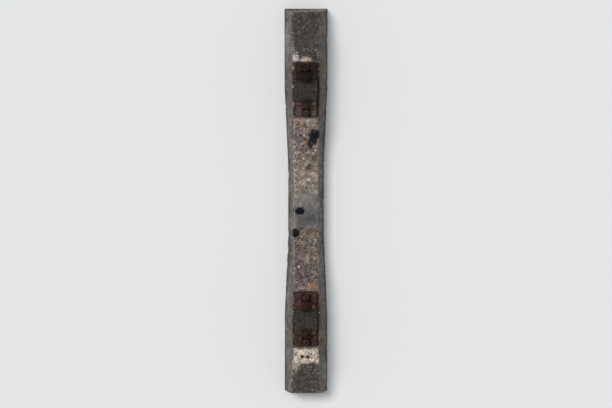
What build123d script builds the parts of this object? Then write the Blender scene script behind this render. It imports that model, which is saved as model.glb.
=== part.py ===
from build123d import *
import math
import os

# Prestressed concrete railway sleeper of the 1520 mm gauge, with the screwed
# fastening that stays on each of its two rail seats when the rails are lifted.
# Units are millimetres. +Y runs along the sleeper, +X along the track, +Z is up.
# The origin is the middle of the underside.

# Concrete beam, cast in one piece
beam_length = 2700.0
base_width_end = 300.0
base_width_middle = 250.0
waist_length = 500.0        # stretch of the underside at the middle width
end_height = 150.0
middle_height = 145.0
middle_flat_length = 500.0  # level stretch of the top, between the rail seats
side_lean = 0.275           # how far each side leans in for each mm of height
end_lean = 0.06             # the same for the two end faces
edge_chamfer = 9.0          # along the two long edges of the top

# Rail seats, sunk into the top of the beam
seat_spacing = 1612.0       # from the middle of one seat to the middle of the other
seat_height = 193.0         # concrete under the middle of a seat
seat_depth = 25.0
seat_cant = 1 / 20          # the seats lean towards the middle of the track
seat_wall_angle = 55.0      # slope of the recess's end walls, from its floor
seat_end_gap = 1.5          # between the pad and the foot of each end wall
inner_shoulder_flat = 30.0
outer_shoulder_flat = 50.0
inner_slope_length = 115.0  # steep stretch down from the inner shoulder
inner_slope_drop = 44.0

# Rubber pad under the base plate
plate_pad_end_inset = 2.0   # from each end of the base plate
plate_pad_side_margin = 9.0 # past each side of the base plate
plate_pad_thickness = 7.0
plate_pad_hole_gap = 3.0    # round the bush
pad_groove_width = 7.0
pad_groove_depth = 2.0
pad_groove_pitch = 16.0

# Rail that the fastening is made for
rail_foot_width = 150.0
rail_foot_edge = 11.2       # thickness of the foot at its edge
rail_foot_rise = 0.25       # slope of the top of the foot

# Base plate, a rolled steel section sawn to length
plate_width = 140.0
plate_end_margin = 30.0     # from the axis of an anchor bolt to the end of the plate
plate_thickness = 14.0
plate_end_bevel = 4.0
rib_gap = 0.75              # between the rail foot and each rib
rib_height = 30.0
rib_top_width = 27.0
rib_base_width = 36.0
rib_bevel = 5.0
rib_root_radius = 5.0
bolt_to_rib_face = 17.25    # from a rib's inner face to the axis of its bolt

# Rubber pad under the rail
rail_pad_inset = 1.0        # from each edge of the rail foot
rail_pad_thickness = 8.0
rail_pad_lip = 6.0          # how far it hooks over each edge of the base plate
rail_pad_lip_drop = 6.0
rail_pad_groove_width = 6.0
rail_pad_groove_depth = 2.0
rail_pad_groove_pitch = 17.0
rail_pad_groove_margin = 14.0

# Threaded parts
bolt_diameter = 22.0
thread_bevel = 2.0
bolt_hole_gap = 1.5         # round the shank in clips and washers
head_gap = 1.0              # round a bolt head in its slot
nut_across_flats = 36.0
nut_height = 22.0
nut_bore_gap = 0.1
nut_bevel = 1.6
spring_washer_outer = 44.0
spring_washer_height = 12.0
spring_washer_seam = 0.5    # between its two coils, screwed down flat
spring_washer_ramp = 40.0   # degrees of its turn that climb from one coil to the other
ramp_steps = 4

# Clip bolts, standing in slots in the ribs
clip_bolt_length = 75.0     # under the head
clip_head_length = 42.0
clip_head_width = 24.0
clip_head_height = 12.5

# Rail clips
clip_width = 70.0
clip_lip_reach = 14.0       # over the rail foot
clip_lip_gap = 0.8          # above the rail foot
clip_lip_tip = 15.0         # thickness of the lip at its tip
clip_rib_gap = 1.5          # above and beside the rib
clip_thickness = 15.5
clip_leg_width = 12.0
clip_leg_gap = 5.0          # from the rib's root to the leg
clip_round = 11.0
clip_tip_round = 4.0

# Anchor bolts, standing in pockets in the concrete
anchor_bolt_length = 175.0  # under the head
anchor_thread_proud = 8.0   # above its nut
anchor_head_length = 46.0
anchor_head_width = 24.0
anchor_head_height = 14.0
anchor_plate_length = 84.0
anchor_plate_width = 62.0
anchor_plate_thickness = 8.0
anchor_plate_hole_gap = 1.0
anchor_pocket_gap = 3.0     # round the bolt head as it is let down the pocket
anchor_turning_gap = 8.0    # round the bolt head as it is turned under its plate
anchor_cavity_depth = 26.0

# Insulating bush under each anchor nut
bush_outer = 34.0
bush_hole_gap = 1.0
bush_collar_length = 44.0
bush_collar_width = 56.0
bush_collar_thickness = 5.0
bush_collar_corner = 5.0
bush_tail = 4.0             # how far the bush reaches below the base plate

# Clamp washer, a steel strap bent down over the collar of the bush
washer_length = 46.0
washer_thickness = 5.0
washer_side_gap = 1.0       # between its bent sides and the collar
washer_foot_gap = 1.0       # between its bent sides and the base plate
washer_bend = 4.0           # outer radius of each bend
washer_to_clip = 3.25       # from the washer to the clip's leg

# Worked out from the sizes above
cant_angle = math.atan(seat_cant)
bolt_radius = bolt_diameter / 2
bolt_hole_radius = bolt_radius + bolt_hole_gap

plate_bottom = plate_pad_thickness
plate_top = plate_bottom + plate_thickness
rail_foot_bottom = plate_top + rail_pad_thickness
rib_inner = rail_foot_width / 2 + rib_gap
rib_outer = rib_inner + rib_base_width
rib_top = plate_top + rib_height
rail_pad_width = rail_foot_width - 2 * rail_pad_inset
clip_axis = rib_inner + bolt_to_rib_face

clip_head_top = plate_top + clip_head_height + head_gap
clip_arch = rib_top + clip_rib_gap
clip_top = clip_arch + clip_thickness
clip_leg_inner = rib_outer + clip_leg_gap
clip_leg_outer = clip_leg_inner + clip_leg_width

anchor_axis = clip_leg_outer + washer_to_clip + washer_length / 2
plate_length = 2 * (anchor_axis + plate_end_margin)
plate_pad_length = plate_length - 2 * plate_pad_end_inset
plate_pad_width = plate_width + 2 * plate_pad_side_margin
floor_length = plate_pad_length + 2 * seat_end_gap
wall_run = seat_depth / math.tan(math.radians(seat_wall_angle))
seat_length = floor_length + 2 * wall_run

washer_bottom = plate_top + bush_collar_thickness
washer_top = washer_bottom + washer_thickness
anchor_nut_bottom = washer_top + spring_washer_height
anchor_bolt_top = anchor_nut_bottom + nut_height + anchor_thread_proud
anchor_plate_bottom = anchor_bolt_top - anchor_bolt_length
anchor_plate_top = anchor_plate_bottom + anchor_plate_thickness

hair = 0.01                 # far below any real distance, to tell one edge or corner from another
standing = (Align.CENTER, Align.CENTER, Align.MIN)
hanging = (Align.CENTER, Align.CENTER, Align.MAX)


def seat_point(along, up):
    """(y, z) on the sleeper of a point measured along and up from a seat's floor."""
    y = seat_spacing / 2 + along * math.cos(cant_angle) - up * math.sin(cant_angle)
    z = seat_height + along * math.sin(cant_angle) + up * math.cos(cant_angle)
    return y, z


def seat_frame(side):
    """Place of a seat's floor: its +Y points to the near end of the sleeper, its +Z off the floor."""
    turn = Rot(0, 0, 0) if side > 0 else Rot(0, 0, 180)
    here = Pos(0, side * seat_spacing / 2, seat_height)
    return here * turn * Rot(math.degrees(cant_angle), 0, 0)


def long_profile(points, width):
    """A solid of constant width whose outline, seen from the side, is given as (y, z) points."""
    return extrude(make_face(Plane.YZ * Polyline(points, close=True)), amount=width / 2, both=True)


def base_half_width(y):
    """Half the width of the underside: narrow in the middle, flaring out to the rail seats."""
    flare = (abs(y) - waist_length / 2) / (seat_spacing / 2 - waist_length / 2)
    flare = min(max(flare, 0), 1)
    return (base_width_middle + flare * (base_width_end - base_width_middle)) / 2


def beam_section(y, height):
    """The beam cut across: a trapezium with its two upper corners bevelled."""
    foot = base_half_width(y)
    bevel_foot = height - edge_chamfer
    right = [
        (foot, 0),
        (foot - side_lean * bevel_foot, bevel_foot),
        (foot - side_lean * height - edge_chamfer, height),
    ]
    left = [(-x, z) for x, z in reversed(right)]
    return Pos(0, y, 0) * make_face(Plane.XZ * Polyline(right + left, close=True))


def top_stations():
    """(y, height) of each bend in the top, from the middle of the beam to one end."""
    inner_edge = seat_point(-seat_length / 2, seat_depth)
    middle_of_seat = seat_point(0, seat_depth)
    outer_edge = seat_point(seat_length / 2, seat_depth)
    inner_flat_end = inner_edge[0] - inner_shoulder_flat
    return [
        (middle_flat_length / 2, middle_height),
        (inner_flat_end - inner_slope_length, inner_edge[1] - inner_slope_drop),
        (inner_flat_end, inner_edge[1]),
        inner_edge,
        middle_of_seat,
        outer_edge,
        (outer_edge[0] + outer_shoulder_flat, outer_edge[1]),
        (beam_length / 2, end_height),
    ]


def end_trim():
    """The room between the two leaning end faces."""
    height = 2 * seat_height
    foot = beam_length / 2
    head = foot - end_lean * height
    return long_profile([(-foot, 0), (foot, 0), (head, height), (-head, height)], 2 * base_width_end)


def seat_recess():
    """What is left out of the beam for one rail seat, with room above it."""
    floor = floor_length / 2
    height = 2 * seat_depth
    mouth = floor + height / math.tan(math.radians(seat_wall_angle))
    return long_profile([(-floor, 0), (floor, 0), (mouth, height), (-mouth, height)], 2 * base_width_end)


def anchor_pocket():
    """The room below a seat's floor for an anchor bolt: a slot for its head, its plate, and room to turn."""
    slot_length = anchor_head_length + 2 * anchor_pocket_gap
    slot_width = anchor_head_width + 2 * anchor_pocket_gap
    slot = extrude(SlotOverall(slot_length, slot_width, rotation=90), amount=seat_depth - anchor_plate_top)
    plate_room = Box(anchor_plate_width, anchor_plate_length, anchor_plate_thickness, align=standing)
    turning_radius = anchor_head_length / 2 + anchor_turning_gap
    turning_room = Cylinder(turning_radius, anchor_cavity_depth, align=hanging)
    return (
        Pos(0, 0, anchor_plate_top) * slot
        + Pos(0, 0, anchor_plate_bottom) * plate_room
        + Pos(0, 0, anchor_plate_bottom) * turning_room
    )


def make_concrete_beam():
    """The casting: sections joined by flat faces, two sunk seats and a pocket for each anchor bolt."""
    half = top_stations()
    stations = [(-y, height) for y, height in reversed(half)] + half
    beam = loft([beam_section(y, height) for y, height in stations], ruled=True)
    beam = beam & end_trim()
    for side in (1, -1):
        beam -= seat_frame(side) * seat_recess()
        for end in (1, -1):
            beam -= seat_frame(side) * Pos(0, end * anchor_axis, 0) * anchor_pocket()
    return beam


def spread(count, pitch):
    """Places of a row of things, centred on zero."""
    return [(number - (count - 1) / 2) * pitch for number in range(count)]


def make_plate_pad():
    """Rubber sheet on the concrete, grooved across on top, with a hole round each bush."""
    pad = Box(plate_pad_width, plate_pad_length, plate_pad_thickness, align=standing)
    groove = Box(plate_pad_width, pad_groove_width, pad_groove_depth, align=hanging)
    hole = Cylinder(bush_outer / 2 + plate_pad_hole_gap, plate_pad_thickness, align=standing)
    count = int((plate_pad_length - pad_groove_width) / pad_groove_pitch)
    for y in spread(count, pad_groove_pitch):
        pad -= Pos(0, y, plate_pad_thickness) * groove
    for end in (1, -1):
        pad -= Pos(0, end * anchor_axis, 0) * hole
    return pad


def rib_outline():
    """(y, z) points of one rib of the base plate, from its outer root to its inner one."""
    outer_top = rib_inner + rib_top_width
    outer_lean = (rib_outer - outer_top) / rib_height
    return [
        (rib_outer, plate_top),
        (outer_top + outer_lean * rib_bevel, rib_top - rib_bevel),
        (outer_top - rib_bevel, rib_top),
        (rib_inner + rib_bevel, rib_top),
        (rib_inner, rib_top - rib_bevel),
        (rib_inner, plate_top),
    ]


def make_base_plate():
    """Rolled plate with a rib each side of the rail foot; each rib is slotted for a bolt head."""
    end = plate_length / 2
    half = [
        (end, plate_bottom),
        (end, plate_top - plate_end_bevel),
        (end - plate_end_bevel, plate_top),
    ] + rib_outline()
    mirrored = [(-y, z) for y, z in reversed(half)]
    plate = long_profile(half + mirrored, plate_width)
    roots = [edge for edge in plate.edges() if is_outer_root(edge)]
    plate = fillet(roots, rib_root_radius)

    head_room_height = clip_head_top - plate_top
    head_room = Box(clip_head_length + 2 * head_gap, rib_base_width, head_room_height, align=standing)
    shank_room = Box(bolt_diameter + 2 * head_gap, rib_base_width, rib_height, align=standing)
    bush_hole = Cylinder(bush_outer / 2 + bush_hole_gap, plate_thickness, align=standing)
    rib_middle = (rib_inner + rib_outer) / 2
    for side in (1, -1):
        plate -= Pos(0, side * rib_middle, plate_top) * head_room
        plate -= Pos(0, side * rib_middle, plate_top) * shank_room
        plate -= Pos(0, side * anchor_axis, plate_bottom) * bush_hole
    return plate


def is_outer_root(edge):
    """Whether an edge of the base plate is where the outer face of a rib meets the plate."""
    middle = edge @ 0.5
    return abs(abs(middle.Y) - rib_outer) < hair and abs(middle.Z - plate_top) < hair


def make_rail_pad():
    """Rubber pad that the rail stands on, hooked over the two edges of the base plate."""
    lip_foot = plate_top - rail_pad_lip_drop
    lip_outer = plate_width / 2 + rail_pad_lip
    outline = [
        (lip_outer, lip_foot),
        (lip_outer, rail_foot_bottom),
        (-lip_outer, rail_foot_bottom),
        (-lip_outer, lip_foot),
        (-plate_width / 2, lip_foot),
        (-plate_width / 2, plate_top),
        (plate_width / 2, plate_top),
        (plate_width / 2, lip_foot),
    ]
    profile = make_face(Plane.XZ * Polyline(outline, close=True))
    pad = extrude(profile, amount=rail_pad_width / 2, both=True)
    groove_length = rail_pad_width - 2 * rail_pad_groove_margin
    groove = Box(rail_pad_groove_width, groove_length, rail_pad_groove_depth, align=hanging)
    count = int(plate_width / rail_pad_groove_pitch)
    for x in spread(count, rail_pad_groove_pitch):
        pad -= Pos(x, 0, rail_foot_bottom) * groove
    return pad


def lip_underside(y):
    """Height of the underside of a clip's lip, just above the slope of the rail foot."""
    foot_top = rail_foot_bottom + rail_foot_edge + rail_foot_rise * (rail_foot_width / 2 - y)
    return foot_top + clip_lip_gap


def make_clip():
    """Steel clip: a leg on the base plate, an arch over the rib, a lip over the rail foot."""
    lip_tip = rail_foot_width / 2 - clip_lip_reach
    lip_root = rib_inner - clip_rib_gap
    tip_top = lip_underside(lip_tip) + clip_lip_tip
    outline = [
        (clip_leg_inner, plate_top),
        (clip_leg_outer, plate_top),
        (clip_leg_outer, clip_top),
        (lip_tip + clip_top - tip_top, clip_top),
        (lip_tip, tip_top),
        (lip_tip, lip_underside(lip_tip)),
        (lip_root, lip_underside(lip_root)),
        (lip_root, clip_arch),
        (clip_leg_inner, clip_arch),
    ]
    radii = {2: clip_round, 3: clip_tip_round, 4: clip_tip_round}
    profile = make_face(Polyline(outline, close=True))
    for corner, radius in radii.items():
        y, z = outline[corner]
        near = [v for v in profile.vertices() if abs(v.X - y) < hair and abs(v.Y - z) < hair]
        profile = fillet(near, radius)
    clip = extrude(Plane.YZ * profile, amount=clip_width / 2, both=True)
    return clip - Pos(0, clip_axis, clip_arch) * Cylinder(bolt_hole_radius, clip_thickness, align=standing)


def t_bolt(head_length, head_width, head_height, length):
    """Bolt with a flat, round-ended head, its head's top at zero and its shank standing up."""
    head = extrude(SlotOverall(head_length, head_width), amount=-head_height)
    shank = Cylinder(bolt_radius, length, align=standing)
    shank = chamfer(shank.edges().filter_by(GeomType.CIRCLE).sort_by(Axis.Z)[-1], thread_bevel)
    return head + shank


def make_nut():
    """Hexagon nut standing on zero, with its corners turned down at both ends."""
    corner = nut_across_flats / math.sqrt(3)
    flat = nut_across_flats / 2
    hexagon = extrude(RegularPolygon(corner, 6), amount=nut_height)
    outline = [
        (0, 0),
        (flat, 0),
        (corner, nut_bevel),
        (corner, nut_height - nut_bevel),
        (flat, nut_height),
        (0, nut_height),
    ]
    turned = revolve(make_face(Plane.XZ * Polyline(outline, close=True)), Axis.Z)
    return (hexagon & turned) - Cylinder(bolt_radius + nut_bore_gap, nut_height, align=standing)


def make_spring_washer():
    """Two-coil spring washer screwed down flat: two open rings, and a ramp that joins them."""
    inner = bolt_hole_radius
    width = spring_washer_outer / 2 - inner
    thickness = (spring_washer_height - spring_washer_seam) / 2
    climb = spring_washer_height - thickness
    wire = Plane.XZ * Pos(inner + width / 2, thickness / 2) * Rectangle(width, thickness)
    coil = revolve(wire, Axis.Z, 360 - spring_washer_ramp)
    steps = []
    for step in range(ramp_steps + 1):
        share = step / ramp_steps
        steps.append(Pos(0, 0, climb * share) * Rot(0, 0, -spring_washer_ramp * (1 - share)) * wire)
    return coil + loft(steps, ruled=True) + Pos(0, 0, climb) * coil


def make_bush():
    """Insulating bush: a tube through the base plate with an oblong collar on top of it."""
    collar = extrude(
        RectangleRounded(bush_collar_width, bush_collar_length, bush_collar_corner),
        amount=bush_collar_thickness,
    )
    tube = Cylinder(bush_outer / 2, plate_thickness + bush_tail, align=hanging)
    bore = Cylinder(bolt_hole_radius, plate_thickness + bush_tail, align=hanging)
    bore += Cylinder(bolt_hole_radius, bush_collar_thickness, align=standing)
    return collar + tube - bore


def make_clamp_washer():
    """Steel strap over the collar of the bush, its two ends bent down; zero is the collar's top."""
    inner = bush_collar_width / 2 + washer_side_gap
    outer = inner + washer_thickness
    foot = washer_foot_gap - bush_collar_thickness
    outline = [
        (outer, foot),
        (outer, washer_thickness),
        (-outer, washer_thickness),
        (-outer, foot),
        (-inner, foot),
        (-inner, 0),
        (inner, 0),
        (inner, foot),
    ]
    profile = make_face(Plane.XZ * Polyline(outline, close=True))
    strap = extrude(profile, amount=washer_length / 2, both=True)
    long_edges = strap.edges().filter_by(Axis.Y)
    bends = [edge for edge in long_edges if abs((edge @ 0.5).Z - washer_thickness) < hair]
    strap = fillet(bends, washer_bend)
    return strap - Cylinder(bolt_hole_radius, washer_thickness, align=standing)


def make_anchor_plate():
    """Steel plate cast into the concrete, with an oblong hole that the bolt head passes."""
    plate = Box(anchor_plate_width, anchor_plate_length, anchor_plate_thickness, align=standing)
    hole_length = anchor_head_length + 2 * anchor_plate_hole_gap
    hole_width = anchor_head_width + 2 * anchor_plate_hole_gap
    return plate - extrude(SlotOverall(hole_length, hole_width, rotation=90), amount=anchor_plate_thickness)


def seat_pieces():
    """The three pieces that a seat has once, in the seat's own frame."""
    return {
        "plate_pad": make_plate_pad(),
        "base_plate": make_base_plate(),
        "rail_pad": make_rail_pad(),
    }


def bolted_pieces():
    """The pieces at each end of a base plate, in the seat's own frame, for the outer end."""
    clip_bolt = t_bolt(clip_head_length, clip_head_width, clip_head_height, clip_bolt_length)
    anchor_bolt = t_bolt(anchor_head_length, anchor_head_width, anchor_head_height, anchor_bolt_length)
    nut = make_nut()
    spring_washer = make_spring_washer()
    return {
        "clip": make_clip(),
        "clip_bolt": Pos(0, clip_axis, clip_head_top) * clip_bolt,
        "clip_spring_washer": Pos(0, clip_axis, clip_top) * spring_washer,
        "clip_nut": Pos(0, clip_axis, clip_top + spring_washer_height) * nut,
        "anchor_bolt": Pos(0, anchor_axis, anchor_plate_bottom) * anchor_bolt,
        "anchor_plate": Pos(0, anchor_axis, anchor_plate_bottom) * make_anchor_plate(),
        "insulating_bush": Pos(0, anchor_axis, plate_top) * make_bush(),
        "clamp_washer": Pos(0, anchor_axis, washer_bottom) * make_clamp_washer(),
        "anchor_spring_washer": Pos(0, anchor_axis, washer_top) * spring_washer,
        "anchor_nut": Pos(0, anchor_axis, anchor_nut_bottom) * nut,
    }


def make_parts():
    """Every piece of the sleeper by name; seat a is on the +Y side, seat b on the -Y side."""
    parts = {"concrete_beam": make_concrete_beam()}
    once = seat_pieces()
    bolted = bolted_pieces()
    for seat, side in (("a", 1), ("b", -1)):
        for name, piece in once.items():
            parts[f"{name}_{seat}"] = seat_frame(side) * piece
        for place, turn in (("outer", 0), ("inner", 180)):
            for name, piece in bolted.items():
                parts[f"{name}_{seat}_{place}"] = seat_frame(side) * Rot(0, 0, turn) * piece
    return parts


os.makedirs("parts", exist_ok=True)
for name, piece in make_parts().items():
    export_step(piece, f"parts/{name}.step")
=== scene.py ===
# %% [markdown]
# # A weathered concrete sleeper
#
# The construction model gives every piece of the sleeper at its real size: one concrete beam
# and, on each of its two rail seats, a rolled base plate with pads, clips, bolts and nuts.
# This lesson dresses that model. The concrete becomes a fine mesh with worn edges, chips and
# pits, the steel gets rust and rounded edges, and the bolts get real threads.
#
# The model comes in as a fixed frame, in metres. Its box is kept.

# %% Load the frame
import math
import random

import bmesh
import bpy
import numpy as np
from mathutils import Matrix, Vector, noise


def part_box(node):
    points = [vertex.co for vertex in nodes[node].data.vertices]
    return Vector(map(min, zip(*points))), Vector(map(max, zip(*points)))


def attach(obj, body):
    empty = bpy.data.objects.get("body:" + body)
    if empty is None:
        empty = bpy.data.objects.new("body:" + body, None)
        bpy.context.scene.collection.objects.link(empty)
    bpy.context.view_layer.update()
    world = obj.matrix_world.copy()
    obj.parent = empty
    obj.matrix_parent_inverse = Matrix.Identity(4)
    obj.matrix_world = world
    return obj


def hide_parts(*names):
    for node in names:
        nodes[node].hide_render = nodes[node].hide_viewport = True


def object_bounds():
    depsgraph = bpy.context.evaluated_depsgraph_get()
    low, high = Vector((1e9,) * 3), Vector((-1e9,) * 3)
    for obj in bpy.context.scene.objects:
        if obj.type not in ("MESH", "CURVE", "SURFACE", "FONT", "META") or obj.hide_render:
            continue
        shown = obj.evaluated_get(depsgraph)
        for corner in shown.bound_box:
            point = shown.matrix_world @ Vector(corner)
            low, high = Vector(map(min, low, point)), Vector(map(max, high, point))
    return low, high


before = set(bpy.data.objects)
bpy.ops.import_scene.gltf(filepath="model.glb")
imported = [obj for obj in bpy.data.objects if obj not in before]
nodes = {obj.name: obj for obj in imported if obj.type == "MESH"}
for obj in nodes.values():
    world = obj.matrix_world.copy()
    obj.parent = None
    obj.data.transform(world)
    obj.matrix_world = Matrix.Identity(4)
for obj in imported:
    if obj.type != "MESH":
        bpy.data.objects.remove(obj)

cad_low, cad_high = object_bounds()
mm = 0.001
print("nodes in the frame:", len(nodes))
print("box of the model in mm:", [round(v / mm) for v in cad_high - cad_low])

# %% [markdown]
# ## Camera
#
# The photograph looks almost straight down from high above, with the sleeper upright in the
# picture and its near-vertical sides that face the top of the picture just showing. That is a
# camera tilted 8 degrees off the plumb line, far away, with a long lens. A long lens from far
# away keeps both ends of the sleeper at one scale, as in the photograph.

# %% Place the camera
camera_tilt = math.radians(8)
camera_distance = 25.0
sight = 200.0
framed_height = 2.84
sensor_width = 36.0
picture_shape = 408 / 612


def place_camera():
    """A camera above the sleeper, leaning towards +Y, with +Y up in the picture."""
    data = bpy.data.cameras.new("camera")
    data.sensor_width = sensor_width
    data.lens = sensor_width * picture_shape * camera_distance / framed_height
    data.clip_end = sight
    camera = bpy.data.objects.new("camera", data)
    bpy.context.scene.collection.objects.link(camera)
    back = Vector((0, math.sin(camera_tilt), math.cos(camera_tilt)))
    up = Vector((0, math.cos(camera_tilt), -math.sin(camera_tilt)))
    right = up.cross(back)
    turn = Matrix((right, up, back)).transposed().to_4x4()
    middle = (cad_low + cad_high) / 2
    camera.matrix_world = Matrix.Translation(middle + camera_distance * back) @ turn
    bpy.context.scene.camera = camera
    return camera


camera = place_camera()
print("lens in mm:", round(camera.data.lens))

# %% [markdown]
# ## Studio
#
# The photograph was taken under an even grey sky. A pale world gives half of the light here,
# and one broad soft sun from the upper left gives the pits and edges their shade. Together they
# light a level face so that a colour renders about as it is written. The floor is a plain pale
# sheet.

# %% Light it softly
world_colour = (0.94, 0.97, 1.0, 1)
world_strength = 0.50
sun_strength = 1.95
sun_spread = math.radians(24)
sun_from = Vector((-0.55, 0.45, 1.0))
floor_size = 160.0
floor_colour = (0.80, 0.80, 0.79, 1)
floor_roughness = 0.9


def light_studio():
    """Pale world, one broad sun and the floor."""
    world = bpy.data.worlds.new("pale sky")
    world.use_nodes = True
    sky = world.node_tree.nodes["Background"]
    sky.inputs["Color"].default_value = world_colour
    sky.inputs["Strength"].default_value = world_strength
    bpy.context.scene.world = world
    data = bpy.data.lights.new("broad sun", "SUN")
    data.energy = sun_strength
    data.angle = sun_spread
    sun = bpy.data.objects.new("broad sun", data)
    sun.rotation_euler = sun_from.to_track_quat("Z", "Y").to_euler()
    bpy.context.scene.collection.objects.link(sun)


def lay_floor():
    """A wide pale floor, level with the underside of the sleeper."""
    bpy.ops.mesh.primitive_plane_add(size=floor_size)
    floor = bpy.context.object
    floor.name = "floor"
    material = bpy.data.materials.new("pale floor")
    material.use_nodes = True
    shader = material.node_tree.nodes["Principled BSDF"]
    shader.inputs["Base Color"].default_value = floor_colour
    shader.inputs["Roughness"].default_value = floor_roughness
    floor.data.materials.append(material)


light_studio()
lay_floor()
bpy.context.scene.view_settings.view_transform = "Standard"
print("light:", world_strength, "from the sky,", sun_strength, "from the sun")

# %% [markdown]
# ## Helpers for shader nodes
#
# A material is a tree of nodes. Adding a node, setting it and wiring it takes many lines, so
# `add` does all three. The others wrap the nodes that this lesson uses most. Most of a
# material is plain sums with numbers that change over the surface, and these come first.

# %% Helpers for numbers
def add(tree, kind, wires=None, **settings):
    """Adds a shader node. wires maps its inputs to values, or to outputs of other nodes."""
    node = tree.nodes.new("ShaderNode" + kind)
    for name, value in settings.items():
        setattr(node, name, value)
    for socket, value in (wires or {}).items():
        if isinstance(value, bpy.types.NodeSocket):
            tree.links.new(value, node.inputs[socket])
        else:
            node.inputs[socket].default_value = value
    return node


def calc(tree, operation, first, second=0.0, clamp=False):
    """The result of one Math node."""
    return add(tree, "Math", {0: first, 1: second}, operation=operation, use_clamp=clamp).outputs[0]


def times(tree, *factors):
    """The product of several values."""
    product = factors[0]
    for factor in factors[1:]:
        product = calc(tree, "MULTIPLY", product, factor)
    return product


def swing(tree, value, reach):
    """Turns a random value from 0 to 1 into a push to either side, by half the reach at most."""
    return times(tree, calc(tree, "SUBTRACT", value, 0.5), reach)


def weighted(tree, *layers):
    """The sum of several values, each given with its own weight."""
    total = None
    for value, weight in layers:
        layer = times(tree, value, weight)
        total = layer if total is None else calc(tree, "ADD", total, layer)
    return total


def remap(tree, value, low, high, to_low=0.0, to_high=1.0):
    """A value stretched from one range to another, and held inside it."""
    wires = {"Value": value, "From Min": low, "From Max": high, "To Min": to_low, "To Max": to_high}
    return add(tree, "MapRange", wires).outputs["Result"]


number_helpers = (add, calc, times, swing, weighted, remap)
print("helpers for numbers:", [helper.__name__ for helper in number_helpers])

# %% [markdown]
# A finish is built like paint, one layer over another. `mix` lays any colour over another by
# a share, `lay` does it for one plain tone under a mask, and `speckle` adds a fine grain that
# leaves the tone as it is.

# %% Helpers for colours
darkest_speck, lightest_speck = 0.2, 0.8


def rgba(colour):
    """A colour with full cover, as the sockets want it."""
    return (*colour, 1)


def mix(tree, share, under, over, blend="MIX"):
    """One colour over another, by a share from 0 to 1."""
    node = add(tree, "Mix", {0: share, 6: under, 7: over}, data_type="RGBA", blend_type=blend)
    return node.outputs[2]


def lay(tree, colour, mask, cover, tone):
    """Lays one plain tone over a colour, where a mask says and as thick as its cover."""
    return mix(tree, times(tree, mask, cover), colour, rgba(tone))


def speckle(tree, colour, share, value, low, high):
    """Lightens and darkens a colour a little by a fine random value."""
    grey = remap(tree, value, low, high, darkest_speck, lightest_speck)
    return mix(tree, share, colour, grey, "OVERLAY")


colour_helpers = (rgba, mix, lay, speckle)
print("helpers for colours:", [helper.__name__ for helper in colour_helpers])

# %% [markdown]
# Every pattern in this lesson reads the place of a point on the object, in metres from the
# sleeper's own origin. So a pattern runs on round the corners, at one size everywhere. Noise
# can also be drawn out into streaks, or bent, so that cells don't look drawn with a ruler.

# %% Helpers for places and noise
def here(tree):
    """The place of a point on the object."""
    return add(tree, "TexCoord").outputs["Object"]


def axes_here(tree):
    """The same place as three values, X, Y and Z."""
    return add(tree, "SeparateXYZ", {0: here(tree)}).outputs


def upward(tree):
    """How far a face looks up: 1 when it is level, 0 when it is upright."""
    return add(tree, "SeparateXYZ", {0: add(tree, "NewGeometry").outputs["Normal"]}).outputs["Z"]


def stretched(tree, up):
    """The place of a point with its height scaled, to draw a noise out into upright streaks."""
    return add(tree, "Mapping", {"Vector": here(tree), "Scale": (1.0, 1.0, up)}).outputs[0]


def bent_place(tree, scale, reach):
    """The place of a point, moved a little by noise."""
    bend = add(tree, "TexNoise", {"Vector": here(tree), "Scale": scale, "Detail": 2.0}).outputs["Color"]
    short = add(tree, "VectorMath", {0: bend, "Scale": reach}, operation="SCALE").outputs["Vector"]
    return add(tree, "VectorMath", {0: here(tree), 1: short}, operation="ADD").outputs["Vector"]


def cloud(tree, scale, detail=3.0, roughness=0.55, where=None):
    """Soft random values about one half. scale counts the patches in a metre."""
    wires = {"Vector": where or here(tree), "Scale": scale, "Detail": detail, "Roughness": roughness}
    return add(tree, "TexNoise", wires).outputs["Fac"]


place_helpers = (here, axes_here, upward, stretched, bent_place, cloud)
print("helpers for places:", [helper.__name__ for helper in place_helpers])

# %% [markdown]
# ## Effects that several materials share
#
# Wear along edges, dust on level faces, pits and rust turn up on more than one piece. Each is
# a node group with named inputs and outputs, built once. A material places the group and gives
# it its own numbers. The groups put out only colours, masks, heights and a roughness; the
# shader itself stays in each material.

# %% Make a group with named sockets
def new_group(name, inputs, outputs):
    """An empty node group. A number makes a value socket, and four numbers a colour socket."""
    tree = bpy.data.node_groups.new(name, "ShaderNodeTree")
    for title, value in inputs.items():
        kind = "NodeSocketColor" if isinstance(value, tuple) else "NodeSocketFloat"
        socket = tree.interface.new_socket(title, in_out="INPUT", socket_type=kind)
        socket.default_value = value
    for title, kind in outputs.items():
        tree.interface.new_socket(title, in_out="OUTPUT", socket_type="NodeSocket" + kind)
    given = tree.nodes.new("NodeGroupInput").outputs
    out = tree.nodes.new("NodeGroupOutput").inputs
    return tree, given, out


def place(tree, group, **values):
    """Places a group in a material or another group, with its own values; gives its outputs."""
    node = add(tree, "Group", node_tree=group)
    for title, value in values.items():
        socket = node.inputs[title.replace("_", " ")]
        if isinstance(value, bpy.types.NodeSocket):
            tree.links.new(value, socket)
        else:
            socket.default_value = value
    return node.outputs


def describe(group):
    """Prints what a group takes and gives."""
    sockets = group.interface.items_tree
    takes = [socket.name for socket in sockets if socket.in_out == "INPUT"]
    gives = [socket.name for socket in sockets if socket.in_out == "OUTPUT"]
    print(group.name, "takes", takes, "and gives", gives)


print("node groups so far:", len(bpy.data.node_groups))

# %% [markdown]
# Edges of steel are where rust is rubbed off or grows brightest. The Bevel node gives the
# normal that a rounded edge would have; where it differs from the true normal there is an edge
# near. Noise breaks the line up, because real wear is never even.

# %% Worn edges
no_edge, sharp_edge = 0.995, 0.86   # how alike the true and the rounded normal are


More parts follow.
